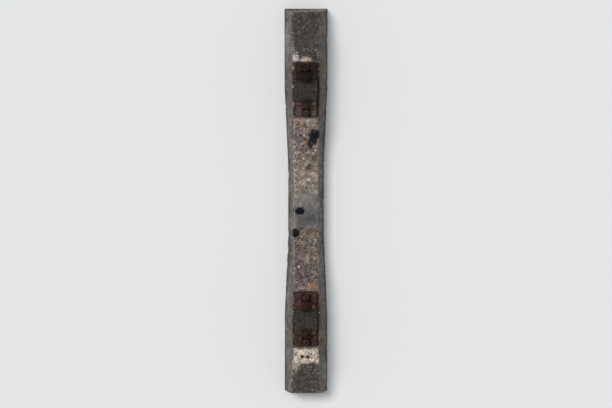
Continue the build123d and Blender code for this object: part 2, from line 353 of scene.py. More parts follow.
def make_worn_edges():
    """Masks a strip along the edges. Radius is its width in metres, Share how much is worn."""
    inputs = {"Radius": 0.002, "Share": 0.5, "Scale": 90.0}
    tree, given, out = new_group("worn edges", inputs, {"Mask": "Float"})
    rounded = add(tree, "Bevel", {"Radius": given["Radius"]}, samples=6).outputs["Normal"]
    true = add(tree, "NewGeometry").outputs["Normal"]
    alike = add(tree, "VectorMath", {0: rounded, 1: true}, operation="DOT_PRODUCT").outputs["Value"]
    edge = remap(tree, alike, no_edge, sharp_edge)
    patchy = cloud(tree, given["Scale"], 5.0, 0.7)
    whole = calc(tree, "SUBTRACT", 1.0, given["Share"])
    rubbed = remap(tree, calc(tree, "SUBTRACT", patchy, times(tree, whole, 0.5)), 0.2, 0.42)
    tree.links.new(times(tree, edge, rubbed), out["Mask"])
    return tree


worn_edges = make_worn_edges()
describe(worn_edges)

# %% [markdown]
# Dust and grit settle on the faces that look up, in ragged patches. A painted mask would fit
# one piece only. This one is the upward part of the normal, times a noise, and fits them all.

# %% Settled dust
def make_settled_dust():
    """Masks the dust on faces that look up. Amount is about the share of them that it hides."""
    tree, given, out = new_group("settled dust", {"Amount": 0.5, "Scale": 40.0}, {"Mask": "Float"})
    level = remap(tree, upward(tree), 0.35, 0.95)
    ragged = cloud(tree, given["Scale"], 6.0, 0.68)
    shifted = calc(tree, "ADD", ragged, calc(tree, "SUBTRACT", given["Amount"], 0.5))
    lies = remap(tree, shifted, 0.42, 0.62)
    tree.links.new(times(tree, level, lies), out["Mask"])
    return tree


settled_dust = make_settled_dust()
describe(settled_dust)

# %% [markdown]
# Concrete and rusted steel both have small round pits. Voronoi cells give one pit to a cell,
# and a random number for each cell says whether it has a pit at all and how wide it is.

# %% Pits
def make_pits():
    """Masks round pits, and gives their depth below the surface as a height."""
    inputs = {"Scale": 80.0, "Share": 0.4, "Width": 0.3}
    tree, given, out = new_group("pits", inputs, {"Mask": "Float", "Height": "Float"})
    cell = add(tree, "TexVoronoi", {"Vector": bent_place(tree, 60.0, 0.012), "Scale": given["Scale"]})
    chance = add(tree, "SeparateColor", {0: cell.outputs["Color"]}).outputs
    present = calc(tree, "LESS_THAN", chance["Red"], given["Share"])
    width = times(tree, given["Width"], remap(tree, chance["Green"], 0.0, 1.0, 0.35, 1.0))
    inside = calc(tree, "DIVIDE", cell.outputs["Distance"], width)
    bowl = remap(tree, inside, 1.0, 0.45)
    mask = times(tree, bowl, present)
    tree.links.new(mask, out["Mask"])
    tree.links.new(times(tree, mask, -1.0), out["Height"])
    return tree


pits = make_pits()
describe(pits)

# %% [markdown]
# A spill is a blot at a known place: a ragged ellipse. Past an edge it drops, a little in most
# places and further in thin runs, as oil does before it soaks away. So the distance from its
# middle is measured in three directions, and the downward one is drawn out where the runs are.

# %% Spill
def make_spill():
    """Masks a ragged blot. Drop is how far it runs down, Wander and Runs take two noises."""
    inputs = {
        "X": 0.0,
        "Y": 0.0,
        "Z": 0.19,
        "Half width": 0.03,
        "Half length": 0.03,
        "Drop": 0.050,
        "Ragged": 0.5,
        "Soft": 0.2,
        "Wander": 0.5,
        "Runs": 0.5,
    }
    tree, given, out = new_group("spill", inputs, {"Mask": "Float"})
    axes = axes_here(tree)
    across = calc(tree, "DIVIDE", calc(tree, "SUBTRACT", axes["X"], given["X"]), given["Half width"])
    along = calc(tree, "DIVIDE", calc(tree, "SUBTRACT", axes["Y"], given["Y"]), given["Half length"])
    below = calc(tree, "MAXIMUM", calc(tree, "SUBTRACT", given["Z"], axes["Z"]), 0.0)
    drawn_out = remap(tree, given["Runs"], 0.44, 0.62, 0.7, 2.0)
    down = calc(tree, "DIVIDE", below, times(tree, given["Drop"], drawn_out))
    steps = add(tree, "CombineXYZ", {"X": across, "Y": along, "Z": down}).outputs[0]
    away = add(tree, "VectorMath", {0: steps}, operation="LENGTH").outputs["Value"]
    uneven = swing(tree, given["Wander"], -7.0)
    reach = calc(tree, "ADD", away, times(tree, uneven, given["Ragged"]))
    whole_within = calc(tree, "SUBTRACT", 1.0, given["Soft"])
    gone_beyond = calc(tree, "ADD", 1.0, given["Soft"])
    tree.links.new(remap(tree, reach, gone_beyond, whole_within), out["Mask"])
    return tree


spill = make_spill()
describe(spill)

# %% [markdown]
# Old rust lies in layers. The common brown varies softly. Over it sits a nearly black scale
# that flakes off along sharp, ragged borders, and where it has just gone the rust is orange. The
# height feeds a bump, so that the borders of the flakes and the grains catch the light.

# %% Rust
def make_rust():
    """The colours of old rust, with its roughness and its height."""
    inputs = {
        "Skin": (0.02, 0.014, 0.012, 1),
        "Brown": (0.10, 0.042, 0.026, 1),
        "Orange": (0.30, 0.105, 0.035, 1),
        "Brown share": 0.6,
        "Orange share": 0.3,
        "Scale": 30.0,
    }
    outputs = {"Colour": "Color", "Roughness": "Float", "Height": "Float"}
    tree, given, out = new_group("rust", inputs, outputs)
    broad = cloud(tree, given["Scale"], 9.0, 0.74)
    fine = cloud(tree, times(tree, given["Scale"], 4.3), 6.0, 0.75)
    both = times(tree, calc(tree, "ADD", broad, fine), 0.5)
    flaked_at = calc(tree, "SUBTRACT", 1.0, given["Brown share"])
    flaked = remap(tree, calc(tree, "SUBTRACT", broad, flaked_at), -0.012, 0.018)
    orange_at = calc(tree, "SUBTRACT", 1.0, given["Orange share"])
    orange = remap(tree, calc(tree, "SUBTRACT", both, orange_at), -0.05, 0.06)
    soft = mix(tree, remap(tree, fine, 0.36, 0.64), given["Skin"], given["Brown"])
    brown = mix(tree, 0.62, soft, given["Brown"])
    dark = mix(tree, remap(tree, fine, 0.42, 0.66), given["Skin"], soft)
    colour = mix(tree, flaked, dark, mix(tree, orange, brown, given["Orange"]))
    grain = cloud(tree, 460.0, 3.0, 0.7)
    tree.links.new(speckle(tree, colour, 0.55, grain, 0.28, 0.72), out["Colour"])
    tree.links.new(remap(tree, flaked, 0.0, 1.0, 0.56, 0.92), out["Roughness"])
    tree.links.new(weighted(tree, (fine, 0.9), (grain, 0.45), (flaked, -0.45)), out["Height"])
    return tree


rust = make_rust()
describe(rust)
print("shared groups:", [group.name for group in bpy.data.node_groups])

# %% [markdown]
# ## The concrete beam: its outline
#
# The real beam is one casting of prestressed concrete. Its underside is widest at the ends and
# under the rail seats, its sides lean in so that it slips out of the mould, and its top sinks
# 25 mm at each seat. The flat-sided solid has all that, but its faces are too large to carry
# wear. So a fine mesh of the same form stands in for it.
#
# One way is to subdivide the solid's own faces, which gives long uneven triangles. Here the
# beam is knitted from rings instead, one every 5 mm or so, because rings can follow each bend
# of the outline exactly. The bends are read from the solid itself, so the two always agree.

# %% Read the outline of the beam
beam_node = nodes["concrete_beam"]
pocket_reach = 0.05      # the anchor pockets stay nearer to the middle line than this
probe_x = 0.06           # a line along the top that is clear of them
least_bend = 0.03        # smallest change of slope that counts as a bend


def table(items, name, width=1):
    """One property of many items, in rows of width numbers."""
    numbers = np.empty(len(items) * width)
    items.foreach_get(name, numbers)
    return numbers.reshape(-1, width) if width > 1 else numbers


def corners_of(mesh):
    """The corners of a mesh, as rows of x, y and z."""
    return table(mesh.vertices, "co", 3)


def height_at(y):
    """Height of the solid's top above a point of the floor."""
    hit, spot, _, _ = beam_node.ray_cast(Vector((probe_x, y, 1)), Vector((0, 0, -1)))
    return spot.z if hit else 0.0


def bends_only(along, up):
    """Leaves out the points of an outline that lie in line with their neighbours."""
    slope = np.diff(up) / np.diff(along)
    bend = np.abs(np.diff(slope)) > least_bend
    keep = np.concatenate([[True], bend, [True]])
    return along[keep], up[keep]


corners = corners_of(beam_node.data)
outer = corners[np.abs(corners[:, 0]) > pocket_reach]
half_length = outer[:, 1].max()
end_corner = outer[np.argmax(outer[:, 1] + outer[:, 2] / 2)]
end_lean = (half_length - end_corner[1]) / end_corner[2]
places = np.unique(np.round(np.abs(outer[:, 1]), 4))
places = places[places < end_corner[1] - mm]
heights = np.array([height_at(y) for y in places] + [end_corner[2]])
top_y, top_z = bends_only(np.append(places, end_corner[1]), heights)
foot = outer[outer[:, 2] < mm]
foot_y, first = np.unique(np.round(np.abs(foot[:, 1]), 4), return_index=True)
foot_x = np.abs(foot[first, 0])
print("bends of the top, y and z in mm:", np.round(np.column_stack([top_y, top_z]) / mm, 1).tolist())

# %% [markdown]
# Each ring is the beam cut across: a trapezium with its two upper corners bevelled. In the
# seats the cut is lower, so the bevel shrinks to a small worn edge there. Near the ends the
# rings lean in, as the end faces do.

# %% Work out the rings
side_lean = 0.275        # how far each side leans in for a metre of height
edge_chamfer = 0.009     # bevel of the long edges of the top
least_chamfer = 0.0015   # what is left of it in a seat
ring_step = 0.005
across_count = 44        # stretches across the top, and across the underside
side_count = 32          # stretches up each side
chamfer_count = 3
end_round = 0.0025       # bevel round the end faces
lean_start = 1.10        # from here to the end, the rings lean more and more
seat_margin = 5 * mm     # the bends of a seat lie this near to its pad, or nearer

seat_low, seat_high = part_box("plate_pad_a")
in_seat = (top_y > seat_low.y - seat_margin) & (top_y < seat_high.y + seat_margin)
ring_counts = [across_count, side_count, chamfer_count, across_count, chamfer_count, side_count]
ring_size = sum(ring_counts)


def ring_places():
    """Where along the beam the rings are: at each bend, and evenly in between."""
    marks = np.unique(np.concatenate([top_y, foot_y, [half_length - end_round]]))
    marks = marks[np.diff(marks, append=half_length + 1) > mm]
    marks = np.concatenate([-marks[::-1], marks])
    stretches = []
    for start, stop in zip(marks[:-1], marks[1:]):
        count = math.ceil((stop - start) / ring_step)
        stretches.append(np.linspace(start, stop, count, endpoint=False))
    return np.append(np.concatenate(stretches), half_length)


def ring(y):
    """One ring as rows of x, y and z: along the foot, up the right side, back over the top."""
    inset = end_round if abs(y) > half_length - end_round / 2 else 0.0
    full_height = np.interp(abs(y), top_y[~in_seat], top_z[~in_seat])
    height = np.interp(abs(y), top_y, top_z) - inset
    half_foot = np.interp(abs(y), foot_y, foot_x) - inset
    chamfer = max(least_chamfer, edge_chamfer - (full_height - height))
    bevel_foot = height - chamfer
    half_bevel = half_foot - side_lean * bevel_foot
    half_top = half_foot - side_lean * height - chamfer
    right = [(half_foot, inset), (half_bevel, bevel_foot), (half_top, height)]
    turns = np.array([(-half_foot, inset)] + right + [(-x, z) for x, z in right[:0:-1]])
    pieces = []
    for start, stop, count in zip(turns, np.roll(turns, -1, axis=0), ring_counts):
        pieces.append(np.linspace(start, stop, count, endpoint=False))
    x, z = np.concatenate(pieces).T
    lean = end_lean * np.clip((abs(y) - lean_start) / (half_length - lean_start), 0, 1)
    return np.column_stack([x, y - np.sign(y) * lean * z, z])


rings = np.array([ring(y) for y in ring_places()])
print("rings:", len(rings), "of", ring_size, "points")

# %% [markdown]
# Two rings make a band of four-sided faces. Each end is closed with a grid, so that the end
# face can carry wear as well. Its rows run from the left edge of the last ring to the right.

# %% Knit the rings into one closed mesh
def knit(rings):
    """All points and four-sided faces of the closed beam."""
    points = [rings.reshape(-1, 3)]
    number = np.arange(len(rings) * ring_size).reshape(len(rings), ring_size)
    following = np.roll(number, -1, axis=1)
    bands = np.stack([number[:-1], number[1:], following[1:], following[:-1]], axis=-1)
    faces = [bands.reshape(-1, 4)]
    row_count = side_count + chamfer_count
    used = number.size
    for end, outward in ((0, False), (len(rings) - 1, True)):
        grid = np.empty((row_count + 1, across_count + 1), int)
        grid[0] = number[end, : across_count + 1]
        grid[-1] = number[end, across_count + row_count : 2 * across_count + row_count + 1][::-1]
        grid[:, -1] = number[end, across_count : across_count + row_count + 1]
        grid[1:, 0] = number[end, ::-1][:row_count]
        inside = (row_count - 1) * (across_count - 1)
        grid[1:-1, 1:-1] = used + np.arange(inside).reshape(row_count - 1, across_count - 1)
        used += inside
        share = np.linspace(0, 1, across_count + 1)[1:-1, None]
        left = points[0][grid[1:-1, 0]][:, None]
        right = points[0][grid[1:-1, -1]][:, None]
        points.append((left + share * (right - left)).reshape(-1, 3))
        squares = np.stack([grid[:-1, :-1], grid[:-1, 1:], grid[1:, 1:], grid[1:, :-1]], axis=-1)
        faces.append(squares.reshape(-1, 4)[:, :: -1 if outward else 1])
    return np.concatenate(points), np.concatenate(faces)


def mesh_from(name, points, faces):
    """A mesh of numbered points and faces."""
    mesh = bpy.data.meshes.new(name)
    mesh.from_pydata(points.tolist(), [], faces.tolist())
    mesh.validate()
    return mesh


beam_points, beam_faces = knit(rings)
beam_mesh = mesh_from("concrete", beam_points, beam_faces)
print("faces:", len(beam_faces))

# %% [markdown]
# ## The concrete beam: wear
#
# Concrete from a steel mould is nearly flat, and the weather does the rest: the faces turn a
# little wavy and grainy, and the long edges round off unevenly. Sculpting could do it by hand.
# Noise does it here, the same on every run. Each point moves inwards only, along its own
# normal, so the beam never grows. Under the pads the seat keeps its flat face.

# %% Measure the surface
pad_sink = 8 * mm        # the floor of a seat lies this far below its pad's lowest corner, or less


def top_height(y):
    """Height of the top of the beam, before any wear."""
    return np.interp(np.abs(y), top_y, top_z)


def half_foot_at(y):
    """Half the width of the underside."""
    return np.interp(np.abs(y), foot_y, foot_x)


def under_pads(points):
    """Whether a point lies on a seat's floor, below the pad."""
    x, y, z = points.T
    low, high = seat_low - Vector((mm, mm, mm)), seat_high
    return (np.abs(x) < high.x) & (np.abs(y) > low.y) & (np.abs(y) < high.y) & (z > low.z - pad_sink)


def edge_distance(points):
    """How far a point is from the nearer long edge of the top, measured across."""
    x, y, z = points.T
    height = top_height(y)
    edge_x = half_foot_at(y) - side_lean * height - edge_chamfer / 2
    return np.hypot(np.abs(x) - edge_x, z - height + edge_chamfer / 2)


print("points under the pads:", under_pads(corners_of(beam_mesh)).sum())

# %% [markdown]
# Each kind of wear has a depth and a noise that makes it uneven. The scale of a noise counts
# its waves in a metre: few for the waviness of the faces, many for their grain.

# %% Push the points in
wave_depth, wave_scale = 0.0009, 7
grain_depth, grain_scale = 0.0006, 75
rough_depth, rough_scale = 0.0016, 40    # on the underside
arris_depth, arris_scale = 0.0042, 26    # on the two long edges of the top
arris_reach = 0.014
noise_decay, noise_step = 0.9, 2.1
facing_down = -0.9


def field(points, scale, octaves=3):
    """A soft random value from 0 to 1 at each point."""
    scaled = (points * scale).tolist()
    values = [noise.fractal(Vector(p), noise_decay, noise_step, octaves) for p in scaled]
    return np.clip(0.5 + 0.5 * np.array(values), 0, 1)


def weather(mesh):
    """Moves the points of the beam inwards: waves, grain, worn edges and a rough underside."""
    points = corners_of(mesh)
    normals = table(mesh.vertex_normals, "vector", 3)
    depth = wave_depth * field(points, wave_scale) + grain_depth * field(points, grain_scale)
    near_arris = np.clip(1 - edge_distance(points) / arris_reach, 0, 1)
    depth += arris_depth * near_arris * field(points, arris_scale) ** 2
    depth += rough_depth * (normals[:, 2] < facing_down) * field(points, rough_scale)
    depth[under_pads(points)] = 0
    points -= normals * depth[:, None]
    mesh.vertices.foreach_set("co", points.ravel())
    return depth


moved = weather(beam_mesh)
print("deepest wear in mm:", round(moved.max() / mm, 1))

# %% [markdown]
# ## The concrete beam: broken edges
#
# Tools, rough handling and frost knock flakes off the edges. A flake leaves a crisp shallow
# hollow, which moving points about can't make, because the mesh is coarser than the break. So
# rough lumps are cut out of the beam with a Boolean modifier, and every face that a lump
# leaves behind is marked "broken". The material shows bare stones there.
#
# The two shoulders outside the seats follow the photograph: the edge of the one at seat a is
# chipped across the whole width, and the one at seat b has two deep pits side by side.

# %% Say where and how large the breaks are
lot = random.Random(1520)   # every random draw of this lesson comes from here
edge_break_count = 16    # along each long edge of the top
foot_break_count = 9     # along each long edge of the underside
upright_break_count = 4  # on each upright edge of an end face
end_clearance = 0.06     # no flake of the long edges lies nearer to the end of the beam
foot_clearance = 0.05    # the same for the flakes of the underside
lips = top_y[~in_seat & (np.roll(in_seat, -1) | np.roll(in_seat, 1))]
inner_lip, outer_lip = lips   # where the top drops to a seat, along the beam
lip_width = 0.165
pit_places = [(-0.026, -1.066), (0.014, -1.069)]
pit_radius = 0.0125
corner_break_radius = 0.085
pit_bite, corner_bite = 1.1, 0.34

# least and greatest radius and bite of the flakes, the bite as a share of the radius
edge_radii, edge_bites = (0.007, 0.024), (0.15, 0.4)
foot_radii, foot_bites = (0.008, 0.020), (0.3, 0.6)
upright_radii, upright_bites = (0.008, 0.022), (0.25, 0.5)
lip_bites = (0.35, 0.6)
edge_spread, lip_spread = (0.6, 1.3), (0.8, 1.3)   # a second factor for these radii

# x, y and share of the full radius, for each corner that is knocked off
broken_corners = [(0.105, -end_corner[1], 1.0), (-0.11, end_corner[1], 0.55)]

# where the lip is along the beam, how many flakes it has lost, their mean radius
broken_lips = [
    (outer_lip, 7, 0.017),
    (-outer_lip, 4, 0.009),
    (inner_lip, 4, 0.009),
    (-inner_lip, 5, 0.011),
]
print("places of the lips along the beam, mm:", np.round(lips / mm))

# %% [markdown]
# Each kind of break has a function that yields them one by one: the place, the direction in
# which the piece came off, the radius of the lump and how deep it bites. They all draw from
# one list of random numbers with a fixed start, so every run breaks the beam in the same way.

# %% List the breaks
def edge_spot(y, side):
    """A point on the long top edge of one side."""
    height = top_height(y)
    x = half_foot_at(y) - side_lean * height - edge_chamfer / 2
    return Vector((side * x, y, height - edge_chamfer / 2))


def edge_breaks():
    """Flakes off the two long edges, larger and deeper by chance."""
    for side in (1, -1):
        for _ in range(edge_break_count):
            y = lot.uniform(-1, 1) * (half_length - end_clearance)
            out = Vector((side * 0.62, 0, 0.78))
            radius = lot.uniform(*edge_radii) * lot.uniform(*edge_spread)
            yield edge_spot(y, side), out, radius, lot.uniform(*edge_bites)


def foot_breaks():
    """Smaller flakes off the two long edges of the underside."""
    for side in (1, -1):
        for _ in range(foot_break_count):
            y = lot.uniform(-1, 1) * (half_length - foot_clearance)
            spot, out = Vector((side * half_foot_at(y), y, 0)), Vector((side * 0.8, 0, -0.6))
            yield spot, out, lot.uniform(*foot_radii), lot.uniform(*foot_bites)


def upright_breaks():
    """Flakes off the upright edges of the two end faces, most of them near the floor."""
    for side in (1, -1):
        for end in (1, -1):
            for _ in range(upright_break_count):
                z = end_corner[2] * lot.uniform(0, 0.95) ** 1.5
                x, y = foot_x[-1] - side_lean * z, half_length - end_lean * z
                spot, out = Vector((side * x, end * y, z)), Vector((side * 0.7, end * 0.72, 0))
                yield spot, out, lot.uniform(*upright_radii), lot.uniform(*upright_bites)


def lip_breaks(y, count, scale):
    """Flakes off the edge where a shoulder drops to a seat, in a row across the beam."""
    towards_seat = math.copysign(1, y) * (1 if abs(y) < (inner_lip + outer_lip) / 2 else -1)
    out = Vector((0, 0.45 * towards_seat, 0.89))
    for number in range(count):
        x = ((number + lot.uniform(0.25, 0.75)) / count - 0.5) * lip_width
        radius = scale * lot.uniform(*lip_spread)
        yield Vector((x, y, top_height(y))), out, radius, lot.uniform(*lip_bites)


def single_breaks():
    """The two pits by seat b, and a corner knocked off at each end."""
    for x, y in pit_places:
        yield Vector((x, y, top_height(y))), Vector((0, 0, 1)), pit_radius, pit_bite
    for x, y, share in broken_corners:
        out = Vector((math.copysign(0.45, x), math.copysign(0.5, y), 0.74))
        yield Vector((x, y, end_corner[2])), out, share * corner_break_radius, corner_bite


breaks = list(edge_breaks()) + list(single_breaks())
for lip in broken_lips:
    breaks += list(lip_breaks(*lip))
breaks += list(foot_breaks()) + list(upright_breaks())
print("breaks:", len(breaks))

# %% [markdown]
# ## The seat frame
#
# Each rail seat leans 1:20 towards the middle of the beam, and everything bolted to it leans
# with it. What is made for a seat is made upright round zero, and then turned and carried
# there. Seat b is seat a turned half round.

# %% Turn and place things on a seat
seat_cant = math.atan(1 / 20)
seat_middle_y = (seat_low.y + seat_high.y) / 2
seat_floor_z = float(top_height(seat_middle_y))


def seat_matrix(seat):
    """The frame of a seat's floor: +Y to the near end of the beam, +Z off the floor."""
    half_turn = Matrix.Rotation(math.pi if seat == "b" else 0, 4, "Z")
    middle = Matrix.Translation((0, seat_middle_y, seat_floor_z))
    return half_turn @ middle @ Matrix.Rotation(seat_cant, 4, "X")


def local_box(node_name, seat):
    """Lowest and highest corner of a node, measured in its seat's frame."""
    back = np.array(seat_matrix(seat).inverted())
    points = corners_of(nodes[node_name].data) @ back[:3, :3].T + back[:3, 3]
    return points.min(axis=0), points.max(axis=0)


low, high = local_box("base_plate_a", "a")
print("base plate on its seat, mm:", np.round(low / mm, 1), np.round(high / mm, 1))

# %% [markdown]
# A lump is a ball of small triangles pushed about by noise. Its centre stands off from the edge,
# so that only a slice of the ball bites: a share of its radius, given in the list. Lumps that
# would touch are left out, because the solver wants each cutter to be free of the next.

# %% Make the lumps
lump_roughness = 0.42
lump_stretch = 2.4         # how much longer than wide a lump may be
lump_waves = 1.2           # waves of the noise over one radius
lump_noise = (0.7, 2.2, 4)   # decay, step from one octave to the next, and octaves


def on_long_edge(out):
    """Whether a break is on a long edge, where a flake comes off longer than wide."""
    return abs(out.x) > abs(out.y)


def add_lump(cutter, spot, out, radius, bite):
    """Adds one rough ball whose lower slice bites into the beam."""
    centre = spot + out.normalized() * radius * (1 - bite)
    stretch = lot.uniform(0.9, lump_stretch) if on_long_edge(out) else 1
    middle = Matrix.Translation(centre)
    made = bmesh.ops.create_icosphere(cutter, subdivisions=3, radius=radius, matrix=middle)
    for vertex in made["verts"]:
        away = vertex.co - centre
        away.y *= stretch
        swell = noise.fractal(vertex.co * lump_waves / radius, *lump_noise)
        vertex.co = centre + away * (1 + lump_roughness * swell)


def as_mesh(made, name):
    """Turns finished mesh code into a mesh, and frees its memory."""
    mesh = bpy.data.meshes.new(name)
    made.to_mesh(mesh)
    made.free()
    return mesh


def make_lumps():
    """All lumps in one mesh, without those that would touch an earlier one."""
    cutter = bmesh.new()
    kept = []
    for spot, out, radius, bite in breaks:
        centre = spot + out.normalized() * radius * (1 - bite)
        reach = radius * (lump_stretch if on_long_edge(out) else 1 + lump_roughness)
        if all((centre - c).length > reach + r for c, r, _ in kept):
            add_lump(cutter, spot, out, radius, bite)
            kept.append((centre, reach, out))
    return as_mesh(cutter, "lumps"), kept


lumps, kept_lumps = make_lumps()
print("lumps:", len(kept_lumps), "of", len(breaks))

# %% [markdown]
# Four anchor pockets open under the seats: an oblong slot through the concrete, and a round
# room below it, where a bolt's head is turned. They are hidden below the pads, but the anchor
# bolts stand in them, and no piece should run through solid concrete. A pocket is an upright
# prism over a round or oblong outline.

# %% Make the pockets
pocket_sides = 24
slot_half_width = 0.0145
slot_end_reach = 0.0105
slot_top = 0.02          # heights in the seat's frame, where its floor is zero
room_radius = 0.0305
room_top = -0.094
room_bottom = -0.128
ends = ("inner", "outer")


def stadium(count, radius, reach, turned=False):
    """Points round an oblong with half-round ends; no reach makes it a circle."""
    points = []
    for k in range(count):
        angle = 2 * math.pi * (k + 0.5) / count
        along = radius * math.cos(angle) + math.copysign(reach, math.cos(angle))
        across = radius * math.sin(angle)
        points.append((-across, along) if turned else (along, across))
    return points


def skin_over(made, rings):
    """Adds a closed skin over a stack of rings, from the top one down, with two flat caps."""
    rows = [[made.verts.new(point) for point in ring] for ring in rings]
    made.faces.new(rows[0])
    made.faces.new(rows[-1][::-1])
    for upper, lower in zip(rows[:-1], rows[1:]):
        for k in range(len(upper)):
            following = (k + 1) % len(upper)
            made.faces.new((upper[k], lower[k], lower[following], upper[following]))


def make_pockets(outline, low, high):
    """The same prism at the four anchor bolts, in one mesh."""
    cutter = bmesh.new()
    for seat in "ab":
        for end in ends:
            start, stop = local_box(f"anchor_bolt_{seat}_{end}", seat)
            stand = seat_matrix(seat) @ Matrix.Translation((start + stop) / 2 * (1, 1, 0))
            skin_over(cutter, [[stand @ Vector((x, y, z)) for x, y in outline] for z in (high, low)])
    return as_mesh(cutter, "pockets")


oblong = stadium(pocket_sides, slot_half_width, slot_end_reach, turned=True)
slots = make_pockets(oblong, room_bottom + 1 * mm, slot_top)
rooms = make_pockets(stadium(pocket_sides, room_radius, 0), room_bottom, room_top)
print("faces of the four slots and the four rooms:", len(slots.polygons), len(rooms.polygons))

# %% [markdown]
# A Boolean modifier cuts the lumps and the pockets out of the beam. Its manifold solver is
# quick and exact on closed meshes, and it carries marks over: every face of a lump has the
# mark "broken" of 1, and the hollows that the lumps leave behind keep it.

# %% Cut them out
def mark_broken(mesh, value):
    """Gives every face of a mesh the mark that the concrete's material reads."""
    broken_mark = mesh.attributes.new("broken", "FLOAT", "FACE")
    broken_mark.data.foreach_set("value", np.full(len(mesh.polygons), value, np.float32))


def cut_from(mesh, cutter):
    """Cuts one closed mesh out of another, and gives the result as a new mesh."""
    body = bpy.data.objects.new("beam", mesh)
    tool = bpy.data.objects.new("tool", cutter)
    for thing in (body, tool):
        bpy.context.scene.collection.objects.link(thing)
    cut = body.modifiers.new("cut", "BOOLEAN")
    cut.operation = "DIFFERENCE"
    cut.solver = "MANIFOLD"
    cut.object = tool
    result = bpy.data.meshes.new_from_object(body.evaluated_get(bpy.context.evaluated_depsgraph_get()))
    for thing in (body, tool):
        bpy.data.objects.remove(thing)
    return result


mark_broken(beam_mesh, 0)
for cutter, broken in ((lumps, 1), (slots, 0), (rooms, 0)):
    mark_broken(cutter, broken)
    beam_mesh = cut_from(beam_mesh, cutter)
print("lumps cut:", len(kept_lumps), "faces now:", len(beam_mesh.polygons))

# %% [markdown]
# ## Concrete: the surface
#
# Old concrete shows three things at once. The cement skin carries mottles a finger wide. Where
# the skin has weathered off, stones of every colour stand out. And each stretch of the beam has
# its own history: dust and soot outside the rail seats, tan between them, a grey stretch in the
# middle, cream where edges broke, rust and grease at the seats.
#
# A photograph projected on the mesh would fit one side only. Layers of noise in the object's
# own space cover every side alike, so the stones run round the corners as real ones do.

# %% Stones in the cement
stone_colours = [
    (0.00, (0.024, 0.023, 0.026)),
    (0.16, (0.075, 0.064, 0.057)),
    (0.32, (0.165, 0.108, 0.074)),
    (0.46, (0.230, 0.182, 0.146)),
    (0.60, (0.118, 0.126, 0.142)),
    (0.74, (0.300, 0.182, 0.112)),
    (0.86, (0.420, 0.350, 0.278)),
    (1.00, (0.640, 0.580, 0.500)),
]


def set_ramp(node, stops):
    """Gives a colour ramp its stops: a place from 0 to 1 and a colour for each."""
    elements = node.color_ramp.elements
    while len(elements) < len(stops):
        elements.new(0.5)
    for element, (position, colour) in zip(elements, stops):
        element.position = position
        element.color = rgba(colour)


def make_stones():
    """Masks stones of one size, each with its own colour and a rounded height."""
    inputs = {"Scale": 60.0, "Share": 0.5, "Gap": 0.07}
    outputs = {"Mask": "Float", "Colour": "Color", "Height": "Float"}
    tree, given, out = new_group("stones", inputs, outputs)
    cells = {"Vector": bent_place(tree, 120.0, 0.007), "Scale": given["Scale"]}
    rim = add(tree, "TexVoronoi", cells, feature="DISTANCE_TO_EDGE").outputs["Distance"]
    chance = add(tree, "SeparateColor", {0: add(tree, "TexVoronoi", cells).outputs["Color"]}).outputs
    gap = times(tree, given["Gap"], remap(tree, chance["Green"], 0.0, 1.0, 0.6, 3.2))
    inside = calc(tree, "SUBTRACT", rim, gap)
    present = calc(tree, "LESS_THAN", chance["Red"], given["Share"])
    mask = times(tree, remap(tree, inside, 0.0, 0.04), present)
    ramp = add(tree, "ValToRGB", {"Fac": chance["Blue"]})
    set_ramp(ramp, stone_colours)
    dome = remap(tree, inside, 0.0, 0.18, 0.35, 1.0)
    tree.links.new(mask, out["Mask"])
    tree.links.new(ramp.outputs["Color"], out["Colour"])
    tree.links.new(times(tree, mask, dome), out["Height"])
    return tree


stones = make_stones()
describe(stones)

# %% [markdown]
# A zone is a stretch of the beam between two places along it. Its limits wander, and a share
# below 1 leaves holes in it. The wandering and the holes come from two noises that the
# material makes once for all its zones, stains and spills.

# %% Zones along the beam
def make_zone():
    """Masks a stretch of the beam. Ragged is how far its limits wander, Share how full it is."""
    inputs = {"From": 0.0, "To": 0.1, "Ragged": 0.02, "Share": 1.0, "Wander": 0.5, "Holes": 0.5}
    tree, given, out = new_group("zone", inputs, {"Mask": "Float"})
    wandering = swing(tree, given["Wander"], times(tree, given["Ragged"], 5.0))
    moved = calc(tree, "ADD", axes_here(tree)["Y"], wandering)
    softness = calc(tree, "ADD", 0.003, times(tree, given["Ragged"], 0.5))
    after = calc(tree, "DIVIDE", calc(tree, "SUBTRACT", moved, given["From"]), softness, clamp=True)
    before = calc(tree, "DIVIDE", calc(tree, "SUBTRACT", given["To"], moved), softness, clamp=True)
    level = remap(tree, given["Share"], 0.0, 1.0, 0.70, 0.30)
    filled = remap(tree, calc(tree, "SUBTRACT", given["Holes"], level), -0.04, 0.04)
    tree.links.new(times(tree, after, before, filled), out["Mask"])
    return tree


zone = make_zone()
describe(zone)

# %% [markdown]
# The zones, stains and spills are data: one line each. The places are those of the sleeper in
# the photograph, in metres from the middle of the beam. A zone changes the cement and says how
# many stones have come through it. A stain soaks into the cement, below the stones. A spill of
# oil or grease lies on top of all.

# %% List the zones, stains and spills
soot_brown = (0.038, 0.033, 0.032)
smooth_brown = (0.050, 0.042, 0.042)
cream = (0.700, 0.605, 0.500)
grey_cement = (0.140, 0.140, 0.138)
smudge_grey = (0.078, 0.075, 0.080)
light_grey = (0.212, 0.202, 0.186)
yellow_tan = (0.370, 0.315, 0.255)
brown_film = (0.088, 0.064, 0.050)
dark_film = (0.040, 0.031, 0.026)
seat_grime = (0.020, 0.016, 0.013)
seat_rust = (0.075, 0.036, 0.022)
pale_tan = (0.340, 0.270, 0.190)
orange_tan = (0.300, 0.165, 0.085)
oil_black = (0.006, 0.008, 0.014)
tar_black = (0.004, 0.004, 0.005)
pit_brown = (0.034, 0.024, 0.018)

